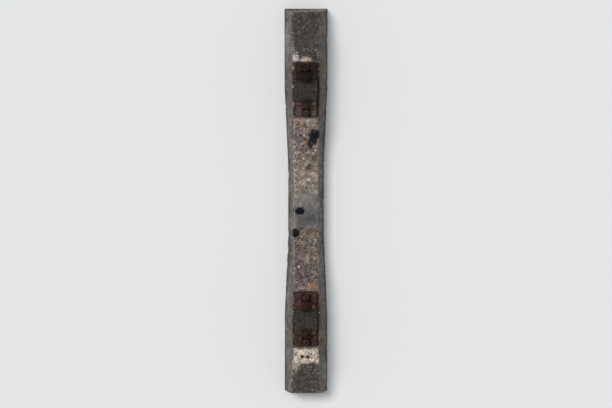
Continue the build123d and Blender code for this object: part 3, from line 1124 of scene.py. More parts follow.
# name, from, to, colour, cover, stones, share, ragged
zones = [
    ("yellower tan", 0.060, 0.235, yellow_tan, 0.50, 0.80, 0.78, 0.030),
    ("browner half", -0.602, -0.170, brown_film, 0.50, 0.90, 0.72, 0.040),
    ("dark towards seat b", -0.602, -0.390, dark_film, 0.50, 0.90, 0.72, 0.050),
    ("grey middle", -0.176, 0.074, grey_cement, 0.92, 0.16, 1.20, 0.034),
    ("dusty end a", 1.004, 1.400, soot_brown, 0.92, 0.36, 1.20, 0.008),
    ("dusty end b", -1.400, -1.112, soot_brown, 0.88, 0.45, 1.00, 0.012),
    ("cream shoulder b", -1.112, -1.004, cream, 0.94, 0.85, 0.80, 0.018),
    ("pale lip a", 0.584, 0.603, pale_tan, 0.60, 0.60, 0.60, 0.008),
    ("seat a rust", 0.606, 0.998, seat_rust, 0.90, 0.20, 0.80, 0.004),
    ("seat b rust", -0.998, -0.606, seat_rust, 0.90, 0.20, 0.80, 0.004),
    ("seat a grime", 0.601, 1.005, seat_grime, 0.92, 0.10, 0.62, 0.004),
    ("seat b grime", -1.005, -0.601, seat_grime, 0.92, 0.10, 0.62, 0.004),
]

# name, x, y, half width, half length, colour, cover, ragged, soft
stains = [
    ("smooth patch", 0.006, 1.166, 0.074, 0.046, smooth_brown, 0.90, 0.25, 0.35),
    ("light half of the grey", -0.010, 0.030, 0.085, 0.044, light_grey, 0.66, 0.45, 0.60),
    ("dark smudge", 0.022, -0.112, 0.060, 0.056, smudge_grey, 0.80, 0.30, 0.60),
    ("cream left of seat a", -0.072, 1.030, 0.023, 0.032, cream, 0.66, 0.95, 0.30),
    ("cream outside seat a", 0.002, 1.010, 0.046, 0.020, cream, 0.88, 0.70, 0.20),
    ("orange in the cream", 0.000, 1.022, 0.020, 0.012, orange_tan, 0.50, 0.80, 0.40),
    ("sooty end of the lip a", 0.068, 1.020, 0.032, 0.024, soot_brown, 0.85, 0.45, 0.30),
    ("cream past shoulder b", -0.074, -1.138, 0.022, 0.034, cream, 0.50, 0.95, 0.40),
    ("orange stain a", -0.072, 0.585, 0.030, 0.016, orange_tan, 0.60, 0.70, 0.40),
    ("cream by seat a", 0.050, 0.565, 0.030, 0.024, pale_tan, 0.60, 0.90, 0.40),
    ("orange stain b", 0.040, -0.572, 0.050, 0.022, orange_tan, 0.55, 0.80, 0.40),
]
spills = [
    ("oil", 0.050, 0.470, 0.034, 0.056, oil_black, 0.97, 0.40, 0.16),
    ("oil at the edge", 0.074, 0.492, 0.026, 0.032, oil_black, 0.97, 0.60, 0.16),
    ("oil drip", 0.030, 0.412, 0.018, 0.020, oil_black, 0.90, 0.70, 0.16),
    ("black blot", -0.044, -0.049, 0.038, 0.028, tar_black, 1.00, 0.34, 0.14),
    ("black blot at the edge", -0.082, -0.209, 0.036, 0.031, tar_black, 1.00, 0.34, 0.14),
]
spills += [("dirt in a pit", x, y, 0.014, 0.014, pit_brown, 0.85, 0.40, 0.30) for x, y in pit_places]
print("zones:", len(zones), "stains:", len(stains), "spills:", len(spills))

# %% [markdown]
# On top the cement skin is a mottled tan. On the sides it is greyer, streaked by rain and dirty
# towards the foot. The slope of a face says which of the two it shows. Adding some noise to
# that slope makes a ragged border between them.

# %% Cement skin
cement_dark = (0.075, 0.058, 0.048)
cement_light = (0.340, 0.278, 0.230)
side_light = (0.215, 0.204, 0.186)
side_dark = (0.100, 0.090, 0.078)
foot_dirt = (0.060, 0.051, 0.044)
side_slope, top_slope = 0.52, 0.70   # faces that look up less are side, more are top
clean_height, dirty_height = 0.085, -0.01   # where the dirt of the foot ends, and is full


def cement_skin(tree, top, broad, mottle):
    """Mottled tan on top; grey, streaked and dirty at the foot on the sides."""
    tan = mix(tree, remap(tree, mottle, 0.34, 0.66), rgba(cement_dark), rgba(cement_light))
    streaks = cloud(tree, 34.0, 6.0, 0.68, stretched(tree, 0.14))
    clouded = weighted(tree, (mottle, 0.45), (streaks, 0.55))
    side = mix(tree, remap(tree, clouded, 0.40, 0.60), rgba(side_dark), rgba(side_light))
    splashed = calc(tree, "ADD", axes_here(tree)["Z"], swing(tree, broad, 0.25))
    side = lay(tree, side, remap(tree, splashed, clean_height, dirty_height), 0.85, foot_dirt)
    return mix(tree, top, side, tan)


print("slopes between side and top:", side_slope, top_slope)

# %% [markdown]
# Years of use have marked the sides too. Rust has run down them below the base plates, in thin
# lines that fade out towards the foot. Fine iron dust has browned their upper part near the
# seats. Each of the two is a mask: a distance from the seat, a height and a noise.

# %% Rust streaks and iron dust on the sides
streak_rust = (0.140, 0.062, 0.032)
iron_brown = (0.072, 0.052, 0.042)
streaks_gone, streaks_full = 0.215, 0.12     # distances from the middle of a seat
streaks_foot, streaks_head = 0.02, 0.19      # heights
iron_gone, iron_full = 0.42, 0.14            # the same for the iron dust
iron_foot, iron_head = 0.06, 0.18


def from_seat_middle(tree, axes):
    """How far a point lies from the middle of the nearer seat, along the beam."""
    along = calc(tree, "ABSOLUTE", axes["Y"])
    return calc(tree, "ABSOLUTE", calc(tree, "SUBTRACT", along, seat_middle_y))


def rust_streaks(tree, side):
    """Where rust has run down the sides below the two base plates."""
    wide_streaks = add(tree, "Mapping", {"Vector": here(tree), "Scale": (0.4, 1.0, 0.09)}).outputs[0]
    lines = remap(tree, cloud(tree, 80.0, 4.0, 0.65, wide_streaks), 0.50, 0.66)
    axes = axes_here(tree)
    near = remap(tree, from_seat_middle(tree, axes), streaks_gone, streaks_full)
    fading = remap(tree, axes["Z"], streaks_foot, streaks_head)
    return times(tree, lines, near, fading, side)


def iron_dust(tree, side, broad, wander):
    """Where iron dust has browned the upper sides, near the seats."""
    axes = axes_here(tree)
    uneven = swing(tree, broad, 0.5)
    away = calc(tree, "ADD", from_seat_middle(tree, axes), uneven)
    near = remap(tree, away, iron_gone, iron_full)
    height = calc(tree, "ADD", axes["Z"], times(tree, uneven, 0.5))
    high = remap(tree, height, iron_foot, iron_head)
    patchy = remap(tree, wander, 0.34, 0.60, 0.35, 1.0)
    return times(tree, near, high, patchy, side)


print("middle of a seat, in mm from the middle of the beam:", round(seat_middle_y / mm))

# %% [markdown]
# Two functions lay the lists of zones, stains and spills over the concrete, one after another.
# They also say what the rest has to know: how many stones show, and what is covered.

# %% Lay the zones, stains and spills
def blend(tree, share, under, over):
    """One plain value over another, by a share from 0 to 1."""
    return add(tree, "Mix", {0: share, 2: under, 3: over}, data_type="FLOAT").outputs[0]


def lay_zones(tree, colour, showing, top, wander, holes):
    """Lays every zone over a colour, on the faces that look up, and sets how many stones show."""
    for _, start, stop, tone, cover, stone_share, share, ragged in zones:
        limits = {"From": start, "To": stop, "Ragged": ragged, "Share": share}
        mask = place(tree, zone, **limits, Wander=wander, Holes=holes)["Mask"]
        laid = times(tree, mask, top)
        colour = lay(tree, colour, laid, cover, tone)
        showing = blend(tree, laid, showing, stone_share)
    return colour, showing


def lay_spots(tree, spots, colour, wander, runs):
    """Lays every stain or spill of a list over a colour, and gives their joint mask."""
    covered = 0.0
    for _, x, y, half_width, half_long, tone, cover, ragged, soft in spots:
        spot = {"X": x, "Y": y, "Z": float(top_height(y))}
        size = {"Half_width": half_width, "Half_length": half_long, "Ragged": ragged, "Soft": soft}
        mask = times(tree, place(tree, spill, **spot, **size, Wander=wander, Runs=runs)["Mask"], cover)
        colour = mix(tree, mask, colour, rgba(tone))
        covered = calc(tree, "MAXIMUM", covered, mask)
    return colour, covered


print("layers to lay:", len(zones) + len(stains) + len(spills))

# %% [markdown]
# Stones of three sizes lie over one another, the largest last. They show where rain has washed
# the skin away, and everywhere inside a break, where the cement is paler too. The breaks near
# the ends of the beam have gone dull with soot.

# %% Lay the stones and open the breaks
# stones in a metre, share that is there, gap around them, cover, height
stone_sizes = [
    (260.0, 0.60, 0.070, 0.62, 0.25),
    (118.0, 0.62, 0.075, 0.80, 0.55),
    (62.0, 0.55, 0.085, 0.88, 1.00),
]
broken_cement = (0.380, 0.335, 0.280)
end_soot_start, end_soot_full = 0.965, 1.015   # distances from the middle of the beam


def sow_stones(tree):
    """Places the stones of each size in a material, and keeps their cover and height."""
    sown = []
    for scale, share, gap, cover, height in stone_sizes:
        sown.append((place(tree, stones, Scale=scale, Share=share, Gap=gap), cover, height))
    return sown


def lay_stones(tree, colour, sown, washed):
    """Lays all stones over a colour, where the skin is washed off."""
    colour = lay(tree, colour, washed, 0.22, dark_film)
    for layer, cover, _ in sown:
        colour = mix(tree, times(tree, layer["Mask"], washed, cover), colour, layer["Colour"])
    return colour


def open_breaks(tree, colour, sown, broken, wander):
    """Shows bare cement and all stones on the broken faces, brighter in some places."""
    bare = rgba(broken_cement)
    for layer, _, _ in sown:
        bare = mix(tree, layer["Mask"], bare, layer["Colour"])
    from_middle = calc(tree, "ABSOLUTE", axes_here(tree)["Y"])
    clean = remap(tree, from_middle, end_soot_start, end_soot_full, 1.0, 0.45)
    fresh = remap(tree, wander, 0.36, 0.60, 0.25, 0.90)
    return mix(tree, times(tree, broken, fresh, clean), colour, bare)


print("sizes of stones:", len(stone_sizes))

# %% [markdown]
# Three kinds of material follow, and each needs one shader, fed with a colour, a roughness and
# a bump. A bump changes only the way light falls on a surface, which is enough for grain of
# less than a millimetre. How strongly a surface mirrors is the same all over it.

# %% Start and finish a material
def start_material(name, gloss):
    """A new material with one shader, and how strongly that mirrors."""
    material = bpy.data.materials.new(name)
    material.use_nodes = True
    shader = material.node_tree.nodes["Principled BSDF"]
    shader.inputs["Specular IOR Level"].default_value = gloss
    return material, material.node_tree, shader


def finish_material(tree, shader, colour, roughness, relief, strength, distance):
    """Wires a colour and a roughness to the shader, and a height by way of a bump."""
    bump = add(tree, "Bump", {"Height": relief, "Strength": strength, "Distance": distance})
    tree.links.new(colour, shader.inputs["Base Color"])
    tree.links.new(roughness, shader.inputs["Roughness"])
    tree.links.new(bump.outputs["Normal"], shader.inputs["Normal"])


def mark(tree, name):
    """A mark that the mesh carries, as a value from 0 to 1."""
    return add(tree, "Attribute", attribute_name=name).outputs["Fac"]


print("materials so far:", len(bpy.data.materials))

# %% [markdown]
# No surface is of one even tone, so soft random values darken and brighten it. And air that was
# caught against the mould has left it full of small round holes, with some larger ones.

# %% Uneven tones and air holes
def vary(tree, colour, value, low, high, darkest, brightest):
    """Darkens and brightens a colour by a soft random value."""
    return mix(tree, 1.0, colour, remap(tree, value, low, high, darkest, brightest), "MULTIPLY")


def air_holes(tree):
    """Where air bubbles in the mould have left holes, large and small."""
    large = place(tree, pits, Scale=75.0, Share=0.20, Width=0.19)["Mask"]
    small = place(tree, pits, Scale=210.0, Share=0.26, Width=0.26)["Mask"]
    return calc(tree, "MAXIMUM", large, small)


print("groups to build with:", len(bpy.data.node_groups))

# %% [markdown]
# The concrete is laid in the order in which it all happened: skin, zones and stains, stones
# that weather out, rubbed edges, iron dust and rust streaks, breaks, air holes, fresh dirt, and
# oil on top. The large noises are made once and shared by all layers.

# %% Build the concrete
concrete_gloss = 0.10
rubbed_edge = (0.420, 0.360, 0.285)
oil_roughness = 0.62
bevel_slopes = [(0.42, 0.60), (0.925, 0.86)]   # from side to bevel, and from top to bevel


def make_concrete():
    """Old concrete, layer by layer."""
    material, tree, shader = start_material("old concrete", concrete_gloss)
    broad, mottle = cloud(tree, 6.0, 4.0, 0.6), cloud(tree, 30.0, 8.0, 0.72)
    wander, holes = cloud(tree, 32.0, 6.0, 0.66), cloud(tree, 68.0, 5.0, 0.66)
    grain, speck = cloud(tree, 240.0, 4.0, 0.7), cloud(tree, 700.0, 2.0, 0.7)
    blotch = cloud(tree, 46.0, 4.0, 0.6, bent_place(tree, 30.0, 0.03))
    runs = cloud(tree, 90.0, 4.0, 0.6, stretched(tree, 0.10))
    border = times(tree, calc(tree, "ADD", wander, holes), 0.5)
    up = upward(tree)
    top = remap(tree, calc(tree, "ADD", up, swing(tree, holes, 0.9)), side_slope, top_slope)
    side = calc(tree, "SUBTRACT", 1.0, top)
    bevel = times(tree, *[remap(tree, up, *slopes) for slopes in bevel_slopes])

    colour = cement_skin(tree, top, broad, mottle)
    showing = remap(tree, top, 0.0, 1.0, 0.24, 0.95)
    colour, showing = lay_zones(tree, colour, showing, top, wander, holes)
    colour, stained = lay_spots(tree, stains, colour, border, runs)
    showing = times(tree, showing, calc(tree, "SUBTRACT", 1.0, times(tree, stained, 0.75)))
    colour = vary(tree, colour, mottle, 0.36, 0.64, 0.76, 1.26)
    colour = vary(tree, colour, broad, 0.35, 0.65, 0.82, 1.18)

    sown = sow_stones(tree)
    washed = times(tree, showing, remap(tree, wander, 0.36, 0.56, 0.35, 1.0))
    colour = lay_stones(tree, colour, sown, washed)
    colour = vary(tree, colour, swing(tree, blotch, showing), -0.14, 0.14, 0.52, 1.48)
    colour = lay(tree, colour, times(tree, bevel, remap(tree, holes, 0.48, 0.60)), 0.50, rubbed_edge)
    colour = lay(tree, colour, iron_dust(tree, side, broad, wander), 0.60, iron_brown)
    colour = lay(tree, colour, rust_streaks(tree, side), 0.75, streak_rust)
    colour = mix(tree, mark(tree, "halo"), colour, rgba(streak_rust))

    broken = mark(tree, "broken")
    colour = open_breaks(tree, colour, sown, broken, wander)
    hollow = air_holes(tree)
    colour = lay(tree, colour, hollow, 0.75, seat_grime)
    dust = place(tree, settled_dust, Amount=0.40, Scale=26.0)["Mask"]
    colour = lay(tree, colour, dust, 0.25, soot_brown)
    colour = speckle(tree, colour, 0.35, grain, 0.25, 0.75)
    colour = speckle(tree, colour, 0.30, speck, 0.25, 0.75)
    colour, oiled = lay_spots(tree, spills, colour, border, runs)

    roughness = blend(tree, oiled, remap(tree, wander, 0.3, 0.7, 0.82, 0.96), oil_roughness)
    standing = weighted(tree, *[(layer["Height"], height) for layer, _, height in sown])
    standing = times(tree, standing, calc(tree, "MAXIMUM", washed, broken))
    relief = weighted(tree, (mottle, 1.0), (grain, 0.45), (standing, 0.75), (hollow, -1.2))
    finish_material(tree, shader, colour, roughness, relief, strength=0.9, distance=1.3 * mm)
    return material


concrete = make_concrete()
print("nodes in the concrete:", len(concrete.node_tree.nodes))

# %% [markdown]
# The end faces show the cut ends of the wires, each with a small halo of rust that has run
# down a little. A mark named "halo" is highest at the wires, and the concrete's rust reads it.
# The beam then takes its material, stands in for the solid beam and rides on the only body.

# %% Finish the beam
wire_columns = [-0.066, -0.022, 0.022, 0.066]
lowest_wire, wire_spacing, wire_row_count = 0.025, 0.0103, 11
wire_rows = [lowest_wire + wire_spacing * number for number in range(wire_row_count)]
halo_reach = 0.006
drip_length = 0.022
drip_spread = (0.3, 2.2)
halo_core = 1.2          # above 1, so that the middle of a halo is full
halo_strengths, faint_bias = (0.1, 1.0), 1.4   # above 1, the bias makes most of them faint
end_depth = 4 * mm       # points this near to the plane of an end face belong to it
sharp_angle = math.radians(38)


def wire_spots():
    """Places of the cut wires on one end face, as x and z."""
    return [(x, z) for x in wire_columns for z in wire_rows]


def mark_halos(mesh):
    """Marks the points of the end faces by how near they are to a wire, or just below one."""
    x, y, z = corners_of(mesh).T
    on_end = np.abs(y) + end_lean * z > half_length - end_depth
    halo = np.zeros(len(x))
    for wire_x, wire_z in wire_spots():
        strength = lot.uniform(*halo_strengths) ** faint_bias
        drop = np.clip((wire_z - z) / (drip_length * lot.uniform(*drip_spread)), 0, 1)
        away = np.hypot(x - wire_x, np.where(z < wire_z, drop * halo_reach, z - wire_z)) / halo_reach
        halo = np.maximum(halo, strength * np.clip(halo_core - away, 0, 1))
    halo_mark = mesh.attributes.new("halo", "FLOAT", "POINT")
    halo_mark.data.foreach_set("value", (halo * on_end).astype(np.float32))


def add_piece(name, mesh, material, slot, *replaced):
    """Puts a mesh in the scene as a piece of the sleeper."""
    mesh.materials.clear()
    mesh.materials.append(material)
    piece = bpy.data.objects.new(name, mesh)
    bpy.context.scene.collection.objects.link(piece)
    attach(piece, "root")
    if replaced:
        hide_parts(*replaced)
    return piece


mark_halos(beam_mesh)
beam_mesh.shade_smooth()
beam_mesh.set_sharp_from_angle(angle=sharp_angle)
add_piece("weathered_beam", beam_mesh, concrete, "concrete", "concrete_beam")
print("triangles of the beam:", sum(len(face.vertices) - 2 for face in beam_mesh.polygons))

# %% [markdown]
# The finish is made in space, so the render needs no flat map of the surface. Other programs
# do: for them the finish is baked to a square image. The beam is nine times as long as it is
# wide, and a map of it in one length would waste most of that image. So it is cut into
# stretches, and each side of a stretch becomes an island, seen straight on. Each break is seen
# along its own direction, and the walls of the anchor pockets are kept apart from the sides.

# %% Sort the faces into islands
stretch_count = 9
side_bias = 1.7          # a face belongs to a side if it looks this much more across than up
end_facing = 0.8
pocket_cover = 10 * mm   # the pockets lie this deep in the beam, or deeper
views = [Vector(axis) * sign for axis in ((0, 0, 1), (1, 0, 0), (0, 1, 0)) for sign in (1, -1)]


def sort_faces(mesh):
    """Gives the island of each face, and the direction that each island is seen from."""
    normals = table(mesh.polygons, "normal", 3)
    x, y, z = middles = table(mesh.polygons, "center", 3).T
    to_side = np.abs(normals[:, 0]) > side_bias * np.abs(normals[:, 2])
    to_end = np.abs(normals[:, 1]) > end_facing
    axis = np.where(to_end, 1, np.where(to_side, 0, 2))
    backwards = normals[np.arange(len(normals)), axis] < 0
    first_view = [2, 4, 0]                       # where x, y and z begin in the list of views
    view = np.choose(axis, first_view) + backwards
    stretch = np.clip((y / half_length + 1) / 2 * stretch_count, 0, stretch_count - 1).astype(int)
    deep = (z > pocket_cover) & (z < top_height(y) - pocket_cover) & (np.abs(x) < pocket_reach)
    stretch += stretch_count * (deep & (np.abs(y) < lean_start))
    island = stretch * len(views) + view
    straight = views * (2 * stretch_count)
    broken = table(mesh.attributes["broken"].data, "value") > 0.5
    centres = np.array([centre for centre, _, _ in kept_lumps])
    away = np.linalg.norm(middles.T[broken][:, None] - centres, axis=2)
    island[broken] = len(straight) + away.argmin(axis=1)
    return island, straight + [out for _, _, out in kept_lumps]


print("sides that a stretch can show:", len(views))

# %% [markdown]
# Each island is seen from its own direction and laid on the map at one scale. The underside
# is drawn smaller, because it is hardly ever seen. Blender can pack islands, but here they are
# nearly rectangles, and rows of them, the tallest first, fill a square well.

# %% Unwrap the beam
map_name = "OFBake"
underside_share = 0.5    # the scale of the underside in the map
island_gap = 2.5 * mm
map_growth = 1.005       # how much wider the map gets at each try


def shelve(sizes, width):
    """Places boxes in rows of one width, the tallest first. Gives their corners and the height."""
    corners = np.zeros(sizes.shape)
    across = up = row = 0.0
    for number in np.argsort(-sizes[:, 1], kind="stable"):
        wide, high = sizes[number]
        if across + wide > width:
            across, up, row = 0.0, up + row, 0.0
        corners[number] = across, up
        across += wide
        row = max(row, high)
    return corners, up + row


def unwrap(mesh):
    """Gives a mesh a map at one scale, and says how many islands it has and how wide it is."""
    island, directions = sort_faces(mesh)
    island = np.repeat(island, table(mesh.polygons, "loop_total").astype(int))
    spots = corners_of(mesh)[table(mesh.loops, "vertex_index").astype(int)]
    flat = np.zeros((len(spots), 2))
    used = np.unique(island)
    sizes = np.zeros((len(used), 2))
    for row, number in enumerate(used):
        turn = np.array(directions[number].to_track_quat("Z", "Y").to_matrix())
        scale = underside_share if directions[number].z < facing_down else 1.0
        inside = island == number
        seen = spots[inside] @ turn[:, :2] * scale
        flat[inside] = seen - seen.min(axis=0) + island_gap / 2
        sizes[row] = np.ptp(seen, axis=0) + island_gap
    width = math.sqrt(sizes.prod(axis=1).sum())
    corners, height = shelve(sizes, width)
    while height > width:
        width *= map_growth
        corners, height = shelve(sizes, width)
    flat += corners[np.searchsorted(used, island)]
    layer = mesh.uv_layers.new(name=map_name)
    layer.uv.foreach_set("vector", (flat / width).ravel().astype(np.float32))
    return len(used), width


island_count, map_width = unwrap(beam_mesh)
print("islands:", island_count, "on a map as wide as", round(map_width, 2), "m of the beam")

# %% [markdown]
# ## Rusted steel
#
# All the steel here has rusted for years, but not alike. The broad base plates are reddish
# brown, with dirt on their level faces. Clips, nuts and bolts are nearly black with old grease
# and dust, and show brown only on their edges. One function makes each of them from the shared
# groups, with its own tones. At the outer end of seat a, soot and a painted rail shadow blacken
# all of them, and at its inner end pale dust lies on the wings of the plate.

# %% Soot, painted rail shadow and dust at seat a
# The dark skin of old rust; at seat a the same colour also paints the shadow of the rail.
black_skin_and_shade = (0.009, 0.008, 0.008)
wing_dust = (0.150, 0.108, 0.088)
# The soot at the outer end of seat a also carries a painted shadow of the rail.
soot_shade_start, soot_shade_end = 0.862, 1.010   # places along the beam
dust_start, dust_end = 0.590, 0.722
clean_middle, dusty_wings = 0.026, 0.038   # how far from the middle line dust starts, and is full
thin_side, thick_side = -0.08, 0.06        # across the beam, where it is thinnest and thickest


def soot_and_rail_shade(tree):
    """Where soot and a painted shadow of the rail lie thick, at the outer end of seat a."""
    patchy = cloud(tree, 60.0, 5.0, 0.7)
    limits = {"From": soot_shade_start, "To": soot_shade_end, "Ragged": 0.01, "Share": 0.8}
    return place(tree, zone, **limits, Wander=patchy, Holes=patchy)["Mask"]


def dry_dust(tree):
    """Where pale dust lies on the plate's wings, at the inner end of seat a."""
    patchy = cloud(tree, 44.0, 6.0, 0.7)
    limits = {"From": dust_start, "To": dust_end, "Ragged": 0.01, "Share": 0.75}
    strewn = place(tree, zone, **limits, Wander=patchy, Holes=patchy)["Mask"]
    across = axes_here(tree)["X"]
    wings = remap(tree, calc(tree, "ABSOLUTE", across), clean_middle, dusty_wings, 0.15, 1.0)
    windward = remap(tree, across, thin_side, thick_side, 0.60, 1.0)
    level = remap(tree, upward(tree), 0.3, 0.9)
    return times(tree, strewn, wings, windward, level)


print("soot from", soot_shade_start, "to", soot_shade_end, "m, dust from", dust_start, "to", dust_end, "m")

# %% [markdown]
# A steel is the rust group with three tones, brighter on its edges, darker in its pits, and
# then two kinds of dust on its level faces: dark dirt, and a little that is pale. The soot with
# the painted rail shadow and the dust of seat a come last.

# %% Make the steels
steel_gloss = 0.12
plate_dirt = (0.022, 0.018, 0.016)
pale_dust = (0.110, 0.088, 0.070)
red_brown = (0.092, 0.037, 0.023)
warm_brown = (0.050, 0.029, 0.021)
dark_brown = (0.026, 0.016, 0.013)
bright_orange = (0.200, 0.078, 0.038)


def make_steel(name, tones, edge, shares, grime, pale, scale):
    """Rusted steel. tones are skin, brown and orange, shares those of brown and orange."""
    material, tree, shader = start_material(name, steel_gloss)
    skin, brown, orange = tones
    brown_share, orange_share = shares
    layers = {"Skin": rgba(skin), "Brown": rgba(brown), "Orange": rgba(orange)}
    rusty = place(tree, rust, **layers, Brown_share=brown_share, Orange_share=orange_share, Scale=scale)
    edges = place(tree, worn_edges, Radius=0.0018, Share=0.7, Scale=110.0)["Mask"]
    colour = lay(tree, rusty["Colour"], edges, 0.7, edge)
    hollows = place(tree, pits, Scale=240.0, Share=0.5, Width=0.34)
    colour = lay(tree, colour, hollows["Mask"], 0.6, skin)
    grimy = place(tree, settled_dust, Amount=grime, Scale=48.0)["Mask"]
    colour = lay(tree, colour, grimy, 0.7, plate_dirt)
    dusty = place(tree, settled_dust, Amount=0.36, Scale=90.0)["Mask"]
    colour = lay(tree, colour, dusty, pale, pale_dust)
    # Painted shade: black over the outer end of seat a, for soot and for the shadow of the rail.
    colour = lay(tree, colour, soot_and_rail_shade(tree), 0.72, black_skin_and_shade)
    colour = lay(tree, colour, dry_dust(tree), 0.66, wing_dust)
    relief = weighted(tree, (rusty["Height"], 1.0), (hollows["Height"], 0.8))
    finish_material(tree, shader, colour, rusty["Roughness"], relief, strength=0.8, distance=0.7 * mm)
    return material


plate_tones = (dark_brown, red_brown, bright_orange)
clip_tones = (black_skin_and_shade, dark_brown, red_brown)
bolt_tones = (black_skin_and_shade, dark_brown, warm_brown)
anchor_tones = (black_skin_and_shade, red_brown, bright_orange)

# slot: name, tones, edge, shares, grime, pale dust, scale
steel_kinds = {
    "plate_steel": ("rolled plate rust", plate_tones, bright_orange, (0.51, 0.455), 0.50, 0.20, 34.0),
    "clip_steel": ("clip rust", clip_tones, red_brown, (0.50, 0.44), 0.42, 0.14, 34.0),
    "bolt_steel": ("bolt rust", bolt_tones, red_brown, (0.48, 0.44), 0.32, 0.10, 60.0),
    "anchor_steel": ("anchor rust", anchor_tones, red_brown, (0.48, 0.44), 0.30, 0.10, 50.0),
}
steels = {slot: make_steel(*kind) for slot, kind in steel_kinds.items()}
rusty_nut = make_steel("anchor nut rust", plate_tones, bright_orange, (0.50, 0.44), 0.36, 0.10, 60.0)
print("steels:", list(steels))

# %% [markdown]
# ## Rubber and plastic
#
# The pads are black rubber gone grey and brown under dust. The bushes under the anchor nuts
# are a dark pressed plastic. Both are dull, with fine grain, and lighter along rubbed edges.

# %% Make the rubber and the plastic
dull_gloss = 0.3
rubber_black, rubber_grey = (0.010, 0.010, 0.011), (0.028, 0.026, 0.025)
bush_dark, bush_light = (0.026, 0.017, 0.014), (0.055, 0.038, 0.029)
brown_dust = (0.060, 0.044, 0.033)


def make_dull(name, base, light, dust, roughness, grain):
    """A dull black or brown finish, clouded, rubbed light at its edges and dusty."""
    material, tree, shader = start_material(name, dull_gloss)
    clouds = cloud(tree, 45.0, 5.0, 0.6)
    colour = mix(tree, remap(tree, clouds, 0.38, 0.66), rgba(base), rgba(light))
    edges = place(tree, worn_edges, Radius=0.0012, Share=0.6, Scale=80.0)["Mask"]
    colour = lay(tree, colour, edges, 0.5, light)
    settled = place(tree, settled_dust, Amount=dust, Scale=60.0)["Mask"]
    colour = lay(tree, colour, settled, 0.8, brown_dust)
    uneven = remap(tree, clouds, 0.3, 0.7, roughness, roughness + 0.2)
    relief = cloud(tree, grain, 4.0, 0.65)
    finish_material(tree, shader, colour, uneven, relief, strength=0.6, distance=0.4 * mm)
    return material


# slot: name, base, light, dust, roughness, grain
dull_kinds = {
    "pad_rubber": ("dusty rubber", rubber_black, rubber_grey, 0.50, 0.62, 520.0),
    "bush_plastic": ("dark plastic", bush_dark, bush_light, 0.36, 0.48, 300.0),
}
finishes = steels | {slot: make_dull(*kind) for slot, kind in dull_kinds.items()}
print("finishes:", list(finishes))

# %% [markdown]
# ## Dressing the fastenings
#
# The plates, clips, nuts, washers, pads and bushes already have the right form, so their
# solids stay and only their finish changes. A solid's edges are perfectly sharp, which real
# rolled and forged steel never is. Three modifiers soften them without touching the mesh: one
# joins its loose triangles, one clears the flat faces of needless lines, one rounds the edges.

# %% Soften edges and give each node its finish
weld_distance = 0.01 * mm
flat_angle = math.radians(1.5)
bevel_angle = math.radians(32)
# width of the rounding in mm, by the start of a node's name; the first one that fits counts
rounding = {"base_plate": 1.2, "clip": 1.0, "clamp_washer": 0.7, "rail_pad": 0.6, "plate_pad": 0.5}
least_rounding = 0.4
redrawn = ["concrete_beam"] + [name for name in nodes if "_bolt_" in name]


def soften(node, width):
    """Rounds the sharp edges of a node by modifiers only."""
    weld = node.modifiers.new("join", "WELD")
    weld.merge_threshold = weld_distance
    clear = node.modifiers.new("clear flats", "DECIMATE")
    clear.decimate_type = "DISSOLVE"
    clear.angle_limit = flat_angle
    bevel = node.modifiers.new("round", "BEVEL")
    bevel.width = width
    bevel.segments = 2
    bevel.limit_method = "ANGLE"
    bevel.angle_limit = bevel_angle


def finish_of(name, node):
    """The finish of a node: that of its slot, except on the anchor nuts, which are rustier."""
    return rusty_nut if name.startswith("anchor_nut") else finishes[node.material_slots[0].material.name]


for name, node in nodes.items():
    if name not in redrawn:
        kind = next((kind for kind in rounding if name.startswith(kind)), None)
        node.material_slots[0].material = finish_of(name, node)
        soften(node, rounding.get(kind, least_rounding) * mm)
print("nodes dressed:", len(nodes) - len(redrawn))

# %% [markdown]
# ## Bolts with real threads
#
# A bolt's solid is a plain rod with a flat head. Its end stands bare above the nut, so the
# thread shows there, and in the mesh it has to be real. A bolt is one skin of stacked rings:
# down the threaded shank, out to the oblong head, and round it. The thread is a ridge that
# climbs one pitch in each turn: the radius at a point depends on its depth plus its angle.

# %% Shape the thread
thread_pitch = 2.5 * mm
thread_depth = 1.35 * mm
thread_length = 46 * mm
rows_per_pitch = 6
bolt_sides = 30
bolt_radius = 11.0 * mm
bolt_bevel = 2.0 * mm


def shank_radius(depth, angle):
    """Radius of the bolt at a depth below its top: bevelled end, thread, plain shank."""
    turns = depth / thread_pitch + angle / (2 * math.pi)
    ridge = abs(2 * (turns % 1) - 1)
    fade = min(1, max(0, (thread_length - depth) / thread_pitch))
    radius = bolt_radius - thread_depth * (1 - ridge) * fade
    return min(radius, bolt_radius - bolt_bevel + depth)


def shank_ring(depth):
    """One ring of the shank, at a depth below the bolt's top."""
    ring = []
    for k in range(bolt_sides):
        angle = 2 * math.pi * (k + 0.5) / bolt_sides
        radius = shank_radius(depth, angle)
        ring.append((radius * math.cos(angle), radius * math.sin(angle), -depth))
    return ring


print("turns of thread:", round(thread_length / thread_pitch, 1))

# %% [markdown]
# Rust has eaten the bolts a little here and there, so noise moves their points inwards. Each
# bolt is made upright round zero, as high as the plain one of its name, and takes its place.

# %% Make the threaded bolts
head_bevel = 1.2 * mm
rust_loss = 0.25 * mm
rust_waves = 160         # waves in a metre of the noise that eats the bolt
rust_noise = (0.8, 2.1, 3)
rust_bias = 0.35         # the higher, the more of the bolt is eaten

# half the length, half the width and the height of the head
bolt_heads = {"clip_bolt": (21 * mm, 12 * mm, 12.5 * mm), "anchor_bolt": (23 * mm, 12 * mm, 14 * mm)}


